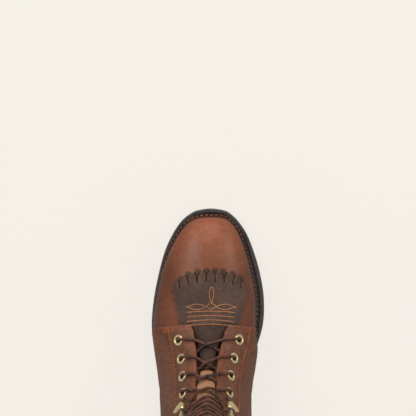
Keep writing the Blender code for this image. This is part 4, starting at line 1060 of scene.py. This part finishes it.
kiltieSize = {
    "thickness": 0.0015, "length": 0.042, "front": 0.0778, "back": 0.0604, "tail": 0.045, "dive": 0.027,
    "fringe": 0.011, "fingers": 9, "slit": 0.0015, "bow": 0.22,
}
tongueSize = {
    "thickness": 0.002, "width": 0.060, "topWidth": 0.076, "rise": 0.011, "bulge": 0.0092, "wrinkle": 0.0003,
    "lowShare": 0.68, "lowFrom": 0.001, "lowOver": 0.006,       # it swells in two steps
    "highShare": 0.32, "highFrom": 0.004, "highOver": 0.030,
    # tailDark and sideDark: strength of the tongue's painted shade at the tail and at the sides of the gap
    "cornerCut": 0.22, "crossDip": 0.06, "tailDark": 0.6, "sideDark": 0.3,
}


def tailDepth():
    return -(last["wall"] + hardware["lace"] + 4 * sole["gap"])


def kiltieTop(behind):
    proud = sole["gap"] + kiltieSize["thickness"]
    return proud + (tailDepth() - proud) * ease(behind / kiltieSize["dive"])


def tongueTop(behind):
    room = kiltieSize["thickness"] + hardware["lace"] / 2 + 2 * sole["gap"]
    return tailDepth() - room * (1 - ease((behind - kiltieSize["tail"]) / (kiltieSize["tail"] / 2)))


def gapFill(share):
    return np.exp(-(share / 0.97) ** 10)


def tongueBulge(behind):
    # padding that swells out of the gap above the kiltie's tail
    look, past = tongueSize, behind - kiltieSize["tail"]
    low = look["lowShare"] * ease((past + look["lowFrom"]) / look["lowOver"])
    return look["bulge"] * (low + look["highShare"] * ease((past - look["highFrom"]) / look["highOver"]))


def pastCollar(behind, run, offset):
    # on the last up to the collar, and straight on above it
    whole = behindSeam(collarRow)
    rows = ridgeRows(np.clip(behind, 0, whole))
    spot = onLast(rows, run, offset)
    above = np.maximum(behind - whole, 0)
    end = onLast(collarRow, run, offset) - onLast(collarRow - 0.3, run, offset)
    return spot + unit(end) * above[..., None]


def buildTongue():
    look = tongueSize
    whole = behindSeam(collarRow) + look["rise"]
    behind = spaced(0.0, whole, 0.0014)
    places = spaced(-look["width"] / 2, look["width"] / 2, 0.0013)
    along, across = np.meshgrid(behind, places, indexing="ij")
    widen = 1 + (look["topWidth"] / look["width"] - 1) * along / whole
    corner = 1 - look["cornerCut"] * np.clip((along - whole + look["rise"]) / look["rise"], 0, 1) ** 3
    run = across * widen * corner
    cross = hardware["first"] + lacingPitch * 0.25
    wave = np.cos(2 * math.pi * (along - cross) / lacingPitch)
    gap = gapFill(run / throatHalf(ridgeRows(np.clip(along, 0, behindSeam(collarRow)))))
    rise = ease((along - kiltieSize["tail"]) / 0.01)
    bulge = tongueBulge(along) * gap * (1 - look["crossDip"] - look["crossDip"] * wave)
    ripple = np.sin(along / 0.0031 + 2.2 * np.sin(across / 0.006)) + np.sin(along / 0.0019 + across / 0.004)
    ripple = ripple * look["wrinkle"]
    top = tongueTop(along) - roundDrop(np.minimum(np.abs(across - places[0]), np.abs(places[-1] - across)))
    outer = pastCollar(along, run, top + bulge + ripple * gap * rise)
    inner = pastCollar(along, run, tongueTop(along) - look["thickness"])
    # painted shade where the tongue sinks under the kiltie's tail, and at its sides down in the gap
    dark = look["tailDark"] * (1 - ease((along - kiltieSize["tail"] + 0.001) / 0.003))
    shadeAndDye = np.clip(dark + look["sideDark"] * (1 - gap), 0, 1)
    piece = wallPiece("tongueLeather", outer, inner, linedWith("tongue"), {"rubAndSheen": shadeAndDye * 0, "shadeAndDye": shadeAndDye})
    finishPiece(piece, "tan_leather", "tongue")
    return whole


print(f"tongue built, {buildTongue():.3f} m long")


# Kiltie: two layers of fringe, a stitched body and a tail that dives under the facings

kiltieLook = {
    "sheet": 0.0008, "tipPoint": 0.44, "curl": 0.0009, "underShift": 0.0034, "underPhase": 0.5,
    "perFinger": 9, "fringeRows": 16, "bodyRows": 45,
    # slitDark and coveredDark: painted shade in the slits and under the upper fingers
    "wornAndSheen": 0.75, "wornWidth": 0.0009, "slitDark": 0.6, "slitDarkLength": 0.0015, "coveredDark": 0.85,
    # tailDark and tailSideDark: painted shade on the tail between the facings
    "tailRound": 0.006, "tailCrown": 0.0012, "tailWorn": 0.5, "tailDark": 0.35, "tailSideDark": 0.5,
}


def aheadRows(ahead):
    return np.where(ahead >= 0, ridgeRows(np.maximum(ahead, 0), forward=False), ridgeRows(np.maximum(-ahead, 0)))


def tipShape(place):
    # how far a finger reaches at a place across it
    return 1 - kiltieLook["tipPoint"] * np.abs(place) ** 2.2


def fringeSheet(name, fingers, top, reach, phase, bodyBack, seed, covered=False):
    # one layer: grid columns grouped in fingers, with the slit columns left open beyond the slit's root
    look, per = kiltieLook, kiltieLook["perFinger"]
    rng = np.random.default_rng(seed)
    slit = kiltieSize["slit"] / kiltieSize["front"] * 2
    pitch = 2 / kiltieSize["fingers"]
    which, inFinger = np.repeat(np.arange(fingers), per), np.tile(np.linspace(-1, 1, per), fingers)
    left = -1 + pitch * (which + phase) + slit / 2 * ((which > 0) | (phase > 0))
    right = -1 + pitch * (which + 1 + phase) - slit / 2 * ((which < fingers - 1) | (phase > 0))
    columns = left + (right - left) * (inFinger + 1) / 2
    longer = rng.uniform(-0.0008, 0.0010, fingers)[which]
    curl = rng.uniform(0.2, 1.0, fingers)[which] * look["curl"]
    lean = rng.uniform(-0.0006, 0.0006, fingers)[which]
    fringeRows, bodyRows = look["fringeRows"], look["bodyRows"]
    tip = np.concatenate([np.linspace(1, 0, fringeRows), np.zeros(bodyRows)])[:, None] + 0 * columns
    back = np.concatenate([np.zeros(fringeRows), np.linspace(0, 1, bodyRows + 1)[1:]])[:, None]
    tips = kiltieSize["length"] + reach + tip * (kiltieSize["fringe"] + longer) * tipShape(inFinger)
    ahead = tips * (1 - back) + bodyBack * back
    share = np.clip(ahead / kiltieSize["length"], 0, 1)
    half = (kiltieSize["back"] + (kiltieSize["front"] - kiltieSize["back"]) * share**0.8) / 2
    run = half * columns + lean * tip**2
    row = aheadRows(ahead)
    front = np.clip((ahead - kiltieSize["length"] * 0.75) / (kiltieSize["length"] * 0.25), 0, 1)
    row = row + kiltieSize["bow"] * columns**2 * (seamRow - row) * front
    wave = 0.00025 * np.sin(columns * 9 + ahead / 0.007)
    outer = top + curl * tip**1.6 + wave * ease(ahead / 0.012)
    sides = half * (1 - np.abs(columns)) + 1e-4
    fingerSide = (1 - np.abs(inFinger)) * half * pitch / 2
    edge = np.where(tip > 0, np.minimum(fingerSide, (1 - tip) * kiltieSize["fringe"]), sides)
    outer = outer - roundDrop(np.minimum(edge, sides), 0.0005)
    upper = onLast(row, run, outer)
    lower = onLast(row, run, outer - look["sheet"])
    keep = np.ones((len(row) - 1, len(columns) - 1), bool)
    keep[:fringeRows - 1][:, per - 1::per] = False
    rubAndSheen = look["wornAndSheen"] * fading(edge, look["wornWidth"]) * (0.35 + 0.65 * np.clip(tip * 3 + 0.3, 0, 1))
    # painted shade at the roots of the slits
    slitRoot = fading(np.abs(tip * kiltieSize["fringe"]), look["slitDarkLength"])
    shadeAndDye = look["slitDark"] * slitRoot * (np.abs(inFinger) > 0.8) * (tip > 0)
    # painted shade under the upper fingers, and a painted shadow just beyond their tips
    if covered:   # dark under the upper fingers and at their tips' shadow
        place = 2 * np.mod((columns + 1) / pitch, 1) - 1
        tips = kiltieSize["length"] + kiltieSize["fringe"] * tipShape(place)
        shadeAndDye = 1 - look["coveredDark"] * ease((ahead - tips - 0.0002) / 0.0010)
        rubAndSheen = rubAndSheen * (1 - shadeAndDye)
    return wallPiece(name, upper, lower, [leather["kiltie"]] * 3, {"rubAndSheen": rubAndSheen, "shadeAndDye": shadeAndDye}, keep)


def buildTail():
    look = kiltieLook
    behind = spaced(-0.012, kiltieSize["tail"], 0.0012)
    places = spaced(-1.0, 1.0, 0.05, 0.03)
    along, across = np.meshgrid(behind, places, indexing="ij")
    rows = aheadRows(-along)
    half = np.minimum(throatHalf(rows), last["throat"] / 2) - sole["seat"]
    end = kiltieSize["tail"] - look["tailRound"] * np.abs(across) ** 2.5
    scaledAlong = np.where(along > 0, along * end / kiltieSize["tail"], along)
    rows = aheadRows(-scaledAlong)
    crown = look["tailCrown"] * (1 - across**2) * ease((scaledAlong - 0.004) / 0.01)
    top = kiltieTop(scaledAlong) - 0.00005 + crown - 0.0007 * ease(1 - (scaledAlong + 0.012) / 0.006)
    upper = onLast(rows, half * across, top)
    lower = onLast(rows, half * across, top - kiltieSize["thickness"])
    rubAndSheen = look["tailWorn"] * fading(kiltieSize["tail"] - along, 0.0012)
    # painted shade on the tail between the facings, darker towards its sides
    shadeAndDye = look["tailDark"] + look["tailSideDark"] * fading((1 - np.abs(across)) * half, 0.002)
    return wallPiece("kiltieTail", upper, lower, [leather["kiltie"]] * 3,
                     {"rubAndSheen": rubAndSheen, "shadeAndDye": np.clip(shadeAndDye, 0, 1) * (along > 0)})


topSheet = sole["gap"] + kiltieSize["thickness"]
kiltieBody = fringeSheet("kiltieBody", kiltieSize["fingers"], topSheet, 0.0, 0.0, 0.0006, 3)
kiltieUnder = fringeSheet("kiltieUnder", kiltieSize["fingers"] - 1, topSheet - 0.0009, kiltieLook["underShift"],
                          kiltieLook["underPhase"], 0.020, 5, covered=True)
finishPiece(kiltieBody, "dark_leather", "kiltie")
finishPiece(kiltieUnder, "dark_leather")
finishPiece(buildTail(), "dark_leather")
print("kiltie built")


# Ornament stitched on the kiltie, as (across, ahead of the seam) in metres

ornament = {
    "shift": -0.0010, "loopTip": 0.0361, "loopFoot": 0.0213, "loopHalf": 0.0021, "diamondHalf": 0.0041,
    "diamondFoot": 0.0142, "leafIn": 0.0052, "leafOut": 0.0236, "leafHalf": 0.0027, "leafAhead": 0.0168,
    # distance ahead of the seam and half width of each line
    "lines": ((0.0114, 0.0221), (0.0068, 0.0221), (0.0024, 0.0221), (-0.0018, 0.0216)), "lineArch": 0.0010,
}


def kiltiePath(points):
    # points as (across, ahead), laid on the kiltie's upper face
    points = np.array(points, float)
    line = smoothLine(points, np.linspace(0, len(points) - 1, max(len(points) * 6, 24)))
    return pathOnLast(aheadRows(line[:, 1]), line[:, 0], topSheet + 0.00012)


def ornamentPaths():
    look = ornament
    tip, foot, wide, low = (look[title] for title in ("loopTip", "loopFoot", "loopHalf", "diamondFoot"))
    middle = foot + (tip - foot) * 0.5
    high, at = look["leafHalf"], look["leafAhead"]
    paths = []
    for way in (1, -1):
        paths.append([(0, tip), (way * wide * 0.5, tip - 0.0008), (way * wide, middle + 0.002),
                      (way * wide * 0.85, middle - 0.002), (0, foot),
                      (-way * look["diamondHalf"], (foot + low) / 2 - 0.0004), (0, low)])
        near, out = way * look["leafIn"], way * look["leafOut"]
        for rise in (high, -high):
            paths.append([(near, at), (near + way * 0.0035, at + rise * 0.72), (near + way * 0.0095, at + rise),
                          (out - way * 0.0045, at + rise * 0.48), (out, at)])
    for ahead, half in look["lines"]:
        paths.append([(half * s, ahead + look["lineArch"] * (1 - s * s)) for s in np.linspace(-1, 1, 9)])
    return [kiltiePath([(across + look["shift"], ahead) for across, ahead in path]) for path in paths]


stitchPiece("kiltieStitches", ornamentPaths(), {"Pitch": 0.0013, "Length": 0.00145, "Thickness": 0.00072,
                                                 "Wobble": 0.04, "Thread": paleThread}, "dark_leather")
print("kiltie stitched")


# Eyelets and speed hooks

def turnedRing(profile, steps):
    points = []
    for k in range(steps):
        angle = 2 * math.pi * k / steps
        points += [Vector((r * math.cos(angle), r * math.sin(angle), z)) for r, z in profile]
    a = np.arange(steps * len(profile)).reshape(steps, -1)
    b, d = np.roll(a, -1, 1), np.roll(a, -1, 0)
    return points, np.stack([a, d, np.roll(b, -1, 0), b], -1).reshape(-1, 4)


def eyeletProfile():
    bore, flange = hardware["bore"] / 2, hardware["flange"] / 2
    outside = bore + hardware["sheet"]
    barrel = last["wall"] + proudOfStay + sole["seat"]
    middle, half = (flange + bore) / 2, (flange - bore) / 2
    dome = [(middle + half * math.cos(a), hardware["crown"] * math.sin(a) ** 0.8)
            for a in (math.pi * k / 12 for k in range(13))]
    return [(outside, -barrel), (outside, 0.0)] + dome + [(bore * 0.985, -0.0006), (bore, -barrel)]


def buildEyelets():
    profile = eyeletProfile()
    for side, word in bothSides:
        for k in range(hardware["eyelets"]):
            points, faces = turnedRing(profile, 36)
            turn = stayFrame(lacing[side][k], side, proudOfStay + 0.00035)
            piece = meshObject(f"eyelet.{word}.{k + 1}", [turn @ p for p in points], faces, [brass])
            finishPiece(piece, "brass", f"eyelet_{word}_{k + 1}")


def buildHooks():
    sheet, mouth, reach = hardware["hookSheet"], hardware["hookMouth"], hardware["hookReach"]
    turnRadius = mouth / 2 + sheet / 2
    neck = reach / 2 - turnRadius - sheet / 2
    line = [(-reach / 2 + 0.0004, sheet / 2), (-reach / 4, sheet / 2), (neck * 0.6, sheet / 2)]
    for k in range(13):
        angle = math.pi * (k / 12 - 0.5)
        line.append((neck + turnRadius * math.cos(angle), sheet / 2 + turnRadius + turnRadius * math.sin(angle)))
    top = sheet / 2 + 2 * turnRadius
    line += [(neck * 0.5, top + 0.0001), (-reach * 0.12, top + 0.0003)]
    line = np.array(line + [(-reach * 0.30, top + 0.0005), (-reach / 2, top + 0.0009)])
    gone = lengthsAlong(line)
    tangent = np.gradient(line, axis=0)
    out = unit(np.column_stack([-tangent[:, 1], tangent[:, 0]]))
    ends = np.minimum(gone, gone[-1] - gone)
    half = hardware["hookWidth"] / 2 * (0.64 + 0.36 * np.sin(math.pi * np.clip(gone / gone[-1], 0, 1)) ** 0.7)
    half = half * np.sqrt(np.clip(ends / 0.0030, 0.05, 1))
    for side, word in bothSides:
        for k in range(hardware["hooks"]):
            turn = stayFrame(lacing[side][hardware["eyelets"] + k], side, proudOfStay + 0.0004)
            grids = []
            for face in (-1, 1):
                lines = []
                for across in np.linspace(-1, 1, 9):
                    thin = sheet / 2 * (1 - 0.55 * abs(across) ** 6)
                    lines.append([turn @ Vector((-side * (x + face * thin * nx), w * across, z + face * thin * nz))
                                  for (x, z), (nx, nz), w in zip(line, out, half)])
                grids.append(np.array(lines))
            piece = wallPiece(f"hook.{word}.{k + 1}", grids[1], grids[0], [brass] * 3)
            finishPiece(piece, "brass", f"hook_{word}_{k + 1}")


buildEyelets()
buildHooks()
print("eyelets and hooks built")


# Lace: the same route as the solid, drawn smooth and twisted

laceLook = {
    "pitch": 0.0007, "around": 15, "lobes": 3, "lobeDepth": 0.13, "turnLength": 0.0085,
    "crossings": (0.38, 0.44, 0.60),
    # through an eyelet: run from its middle, shares of the depth under the stay and the height over it
    "eyelet": ((-0.0050, 1, 0), (-0.0012, 0.97, 0), (0.0007, 0.42, 0), (0.0006, 0, 0.40), (-0.0010, 0, 0.95),
               (-0.0050, 0, 1)),
    # half way round a hook: distance past the neck, share of its half width and more
    "hook": ((-0.0002, 0, 0), (0, 1.05, 0), (0.0018, 1, 0.0023), (0.0054, 1, 0.0040)), "hookEnd": -0.0012,
    # over the gap: share of the way to the next eyelet, share of the gap's half width, lift over the crossing
    "before": ((0.30, 1.02), (0.62, 0.60), (1.0, 0.0)),
    "beyond": ((0.15, -0.55, 0.4), (0.26, -0.80, 0.0), (0.36, -1.0, 0.0), (0.55, -1.3, 0.0)),
    "overHooks": ((0.15, 1.12), (0.32, 0.6), (0.50, 0.0), (0.68, -0.6), (0.85, -1.12)),
}
laceRadius = hardware["lace"] / 2
underWall = -(last["wall"] + 2 * sole["gap"] + laceRadius)


def gapFloor(row):
    behind = float(behindSeam(row))
    if behind < kiltieSize["tail"] + hardware["lace"]:
        return max(float(kiltieTop(behind)), tailDepth()) + 0.0009
    return float(tongueTop(behind) + tongueBulge(behind))


def throughEyelet(row, side):
    run = abs(stayRun(row, side))
    over = proudOfStay + sole["seat"] + hardware["crown"] + sole["gap"] + laceRadius
    return [onLast(row, side * (run + shift), underWall * low + over * high)
            for shift, low, high in laceLook["eyelet"]]


def roundHook(row, side):
    turn = stayFrame(row, side, proudOfStay + sole["seat"])
    centre = hardware["hookSheet"] + hardware["hookMouth"] / 2
    neck = hardware["hookReach"] / 2 - hardware["hookSheet"] - sole["gap"] - laceRadius
    spots = [(neck + past, hardware["hookWidth"] / 2 * share + more) for past, share, more in laceLook["hook"]]
    spots = [(x, -y) for x, y in spots[:0:-1]] + spots
    lifts = [laceLook["hookEnd"] if k in (0, len(spots) - 1) else 0.0 for k in range(len(spots))]
    return [np.array(turn @ Vector((-side * x, y, centre + lift))) for (x, y), lift in zip(spots, lifts)]


def acrossGap(start, end, side, crossing, onTop):
    # crossing: share of the way to the next eyelet at which the ends cross, or None between hooks
    look, thick = laceLook, hardware["lace"]
    over = proudOfStay + sole["gap"] + laceRadius
    if crossing:
        crest = gapFloor(start + crossing * (end - start)) + 3 * sole["gap"] + laceRadius
        ways = [(way * crossing, share) for way, share in look["before"]]
        heights = [over * 1.05, (over + crest) / 2, crest]
        flat = crest - tongueBulge(behindSeam(start + crossing * (end - start)))
        for further, share, way in look["beyond"]:
            ways.append((crossing + (1 - crossing) * further, share))
            swell = tongueBulge(behindSeam(start + ways[-1][0] * (end - start))) * gapFill(share)
            heights.append(flat * way + underWall * (1 - way) + swell)
    else:
        ways = look["overHooks"]
        crest = gapFloor(start + 0.5 * (end - start)) + sole["gap"] + laceRadius
        flank = over + 0.84 * (crest - over)
        heights = [over * 1.1, flank, crest, flank, over * 1.1]
    if onTop:
        heights[2] += thick + sole["gap"]
        heights[1] += thick * 0.5
        heights[3] += thick * (0.25 if crossing else 0.5)
    rows = [start + way * (end - start) for way, _ in ways]
    return [onLast(row, side * share * throatHalf(row), height)
            for row, (_, share), height in zip(rows, ways, heights)]


def laceEnd(side):
    first = lacing[side][0]
    edge = throatHalf(first)
    beneath = float(kiltieTop(behindSeam(first))) - kiltieSize["thickness"] - sole["seat"] - laceRadius
    points = [onLast(first, side * edge * 0.5, beneath), onLast(first, side * edge * 0.95, beneath),
              onLast(first, side * edge * 1.22, (beneath + underWall) / 2)]
    for k in range(laceRows):
        here = side if k % 2 == 0 else -side
        row = lacing[here][k]
        if k < hardware["eyelets"]:
            points += throughEyelet(row, here)
        else:
            points += roundHook(row, here)[:None if k < laceRows - 1 else 5]
        if k < laceRows - 1:
            crossing = laceLook["crossings"][k] if k + 1 < hardware["eyelets"] else None
            points += acrossGap(row, lacing[-here][k + 1], here, crossing, here < 0)
    return points


def smoothPath(points, pitch):
    points = np.array(points)
    line = smoothLine(points, np.linspace(0, len(points) - 1, len(points) * 12))
    gone = lengthsAlong(line)
    places = np.arange(0, gone[-1], pitch)
    return np.column_stack([np.interp(places, gone, line[:, k]) for k in range(3)])


def buildLace():
    path = smoothPath(laceEnd(1)[::-1] + laceEnd(-1), laceLook["pitch"])
    tangent = unit(np.gradient(path, axis=0))
    side = np.cross(tangent[0], (0, 0, 1.0))
    sides = []
    for t in tangent:
        side = side - t * side.dot(t)
        side = side / np.linalg.norm(side)
        sides.append(side)
    sides = np.array(sides)
    ups = np.cross(tangent, sides)
    around = 2 * math.pi * np.arange(laceLook["around"]) / laceLook["around"]
    twist = 2 * math.pi * np.arange(len(path)) * laceLook["pitch"] / laceLook["turnLength"]
    lobe = np.abs(np.cos(laceLook["lobes"] / 2 * (around[None] - twist[:, None])))
    radius = laceRadius * (1 + laceLook["lobeDepth"] * (lobe - 0.8)) * 1.02
    ring = path[:, None] + radius[..., None] * (np.cos(around)[None, :, None] * sides[:, None]
                                                + np.sin(around)[None, :, None] * ups[:, None])
    faces = tubeFaces(laceLook["around"], len(path))
    piece = meshObject("bootLace", ring.reshape(-1, 3), faces, [laceFibre])
    finishPiece(piece, "lace", "lace")
    return len(path) * laceLook["pitch"]


print(f"lace built, {buildLace():.2f} m long")


# Sole, welt, insole and heel

def layer(inset, heightOf, rims=0.0, steps=12):
    loop = soleLoop(inset, rims, steps)
    return inBoot(*loop.T, heightOf(loop[:, 1]))


def loftLayers(name, layers, materials):
    # rings of points closed by strips across their ends
    count = len(layers[0])
    faces = bandFaces(count, len(layers))
    for first, turned in ((0, True), ((len(layers) - 1) * count, False)):
        for left in range(count // 2):
            right = count - left
            ring = [first + left, first + left + 1, first + right - 1, first + right % count]
            ring = list(dict.fromkeys(ring))
            if len(ring) > 2:
                faces.append(ring[::-1] if turned else ring)
    return meshObject(name, np.concatenate(layers), faces, materials)


outsoleLook = {"round": 0.0016, "groove": 0.0006}


def buildOutsole():
    bead, thick = outsoleLook["round"], sole["thickness"]
    turns = [math.pi / 8 * k for k in range(5)]
    # how far each ring lies inside the edge, and its height as a share of the thickness and more
    rings = [(bead * (1 - math.sin(a)), 0.0, bead * (1 - math.cos(a))) for a in turns]
    rings += [(0.0, 0.45, 0.0), (outsoleLook["groove"], 0.50, 0.0), (0.0, 0.55, 0.0)]
    rings += [(bead * (1 - math.cos(a)), 1.0, -bead * (1 - math.sin(a))) for a in turns]
    layers = [layer(inset, lambda s, up=thick * share + more: treadHeight(s) + up) for inset, share, more in rings]
    return finishPiece(loftLayers("outsoleRubber", layers, [soleRubber]), "sole", "outsole")


weltLook = {
    "notch": 0.0054, "notchDepth": 0.0008, "across": 26, "fromVamp": 0.0014, "stitch": (0.0034, 0.0074),
    "steps": 42, "stitchSteps": 40, "stitchEnd": 0.055, "smoothed": 31,
    "bandAt": 0.0021, "bandHalf": 0.0011, "wornAndSheen": 0.9, "wornFrom": 0.0002, "wornOver": 0.0005,
    "darkFrom": 0.0036, "darkOver": 0.0008,
}


def stitchDepth(loop, inside):
    # how far inside the sole's edge the welt is sewn: just clear of the upper, seen from above
    rows, shares = np.meshgrid(np.linspace(0.5, heelRow, 180), np.linspace(-1, 1, 90), indexing="ij")
    girth = np.where(shares < 0, girthAt(rows, -1), girthAt(rows, 1))
    upper = onLast(rows, shares * girth)[..., :2].reshape(-1, 2)
    edge = inBoot(*loop.T, 0 * loop[:, 0])[:, :2]
    inward = unit(inBoot(*inside.T, 0 * loop[:, 0])[:, :2] - edge)
    depth = np.empty(len(loop))
    for k, (spot, way) in enumerate(zip(edge, inward)):
        apart = upper - spot
        near = np.abs(apart[:, 0] * way[1] - apart[:, 1] * way[0]) < 0.0016
        depth[k] = (apart[near] @ way).min() if near.any() else 0.0
    wide = weltLook["smoothed"]
    ring = np.concatenate([depth[-wide:], depth, depth[:wide]])
    smooth = np.convolve(ring, np.hanning(wide) / np.hanning(wide).sum(), "same")[wide:-wide]
    return np.clip(smooth - weltLook["fromVamp"], *weltLook["stitch"])


def buildWelt():
    # a flat strip with a notched black band outside the stitches
    look = weltLook
    loop, fine, inner = (soleLoop(inset, rims, look["steps"]) for inset, rims in (
        (0.0, 0.0), (sole["weltSetback"], 0.0), (sole["weltTuck"], sole["rim"])))
    ways = np.linspace(0, 1, look["across"])
    spots = fine[:, None] * (1 - ways[:, None]) + inner[:, None] * ways[:, None]
    depth = np.linalg.norm(spots - fine[:, None], axis=2) + sole["weltSetback"]
    notch = np.abs(np.sin(math.pi * lengthsAlong(loop) / look["notch"]))[:, None] ** 0.35
    sewn = stitchDepth(loop, inner)[:, None]
    band = np.exp(-((depth - sewn + look["bandAt"]) / look["bandHalf"]) ** 4)
    base = treadHeight(spots[..., 1]) + sole["thickness"] + sole["gap"]
    rise = sole["welt"] - roundDrop(depth - sole["weltSetback"], 0.0009)
    rise = rise - look["notchDepth"] * band * (0.35 + 0.65 * (1 - notch))
    rubAndSheen = look["wornAndSheen"] * ease((depth - sewn - look["wornFrom"]) / look["wornOver"])
    # shadeAndDye here is the welt's own black, left off the brown leather under the stitches
    shadeAndDye = ease((depth - sewn + look["darkFrom"]) / look["darkOver"]) * (1 - rubAndSheen)
    at = spots[..., 0], spots[..., 1]
    grids = (inBoot(*at, base + rise), inBoot(*at, base), rubAndSheen, shadeAndDye)
    top, low, rubAndSheen, shadeAndDye = (np.concatenate([grid, grid[:1]]) for grid in grids)
    piece = wallPiece("weltStrip", top, low, [leather["weltLeather"], leather["weltLeather"], soleRubber],
                      {"rubAndSheen": rubAndSheen, "shadeAndDye": shadeAndDye})
    weld = piece.modifiers.new("join", "WELD")
    weld.merge_threshold = 0.00001
    return finishPiece(settle(piece), "dark_leather", "welt")


def weltPath():
    loop, inside = (soleLoop(0.0, rims, weltLook["stitchSteps"]) for rims in (0.0, sole["rim"]))
    line = loop + unit(inside - loop) * stitchDepth(loop, inside)[:, None]
    keep = np.flatnonzero(line[:, 1] > weltLook["stitchEnd"])
    order = np.concatenate([keep[keep > len(line) // 2], keep[keep <= len(line) // 2]])
    line = line[order]
    points = inBoot(*line.T, featherHeight(line[:, 1]) + 0.0002)
    return points, np.tile((0.0, 0.0, 1.0), (len(points), 1))


def buildInsole():
    inset, low = sole["weltTuck"] + sole["gap"], sole["thickness"] + sole["gap"]
    layers = []
    for shrink, rise in ((0.0, 0.0), (0.0, 0.8), (0.0004, 1.0), (0.004, 0.95), (0.010, 0.85)):
        up = low + sole["insole"] * rise
        layers.append(layer(inset + shrink, lambda s, up=up: treadHeight(s) + up, sole["rim"]))
    return finishPiece(loftLayers("insoleLeather", layers, [leather["lining"]]), "tan_leather", "insole")


heelLook = {"lifts": 4, "groove": 0.00035, "chamfer": 0.0006}


def heelRing(inset, z):
    loop, plain = soleLoop(inset), soleLoop()
    keep = np.flatnonzero(plain[:, 1] < sole["heelLength"] * 0.97)
    half = len(loop) // 2
    breast = sole["heelLength"] - inset
    sides = [loop[:half + 1][::-1], np.vstack([loop[half:], loop[:1]])]
    corners = [(np.interp(breast, s[:, 1], s[:, 0]), breast) for s in sides]
    front = np.linspace(corners[1], corners[0], 16)
    ring = np.vstack([front, loop[keep]])
    return inBoot(*ring.T, np.full(len(ring), z))


def heelPiece(name, levels, material, slot, node):
    taper = sole["heelTaper"] / sole["heelHeight"]
    layers = [heelRing(sole["weltSetback"] + taper * (sole["heelHeight"] - z) + extra, z) for z, extra in levels]
    faces = tubeFaces(len(layers[0]), len(layers))
    return finishPiece(meshObject(name, np.concatenate(layers), faces, [material]), slot, node)


def buildHeel():
    low, high = sole["topLift"] + sole["gap"], sole["heelHeight"] - sole["gap"]
    levels, cut = [(low, 0.0)], heelLook["groove"]
    for k in range(1, heelLook["lifts"]):
        z = low + (high - low) * k / heelLook["lifts"]
        levels += [(z - cut, 0.0), (z, cut), (z + cut, 0.0)]
    levels.append((high, 0.0))
    heelPiece("heelStack", levels, leather["heelStack"], "dark_leather", "heel")
    edge = heelLook["chamfer"]
    levels = [(0.0, edge), (edge, 0.0), (sole["topLift"] - 0.0003, 0.0), (sole["topLift"], 0.0003)]
    heelPiece("topLiftRubber", levels, liftRubber, "sole", "top_lift")


buildOutsole()
buildWelt()
buildInsole()
buildHeel()
stitchPiece("weltStitches", [weltPath()], {"Pitch": 0.0048, "Length": 0.0034, "Thickness": 0.0011, "Slant": 0.28,
                                           "Wobble": 0.10, "Thread": weltThread}, "dark_leather")
print("sole and heel built")
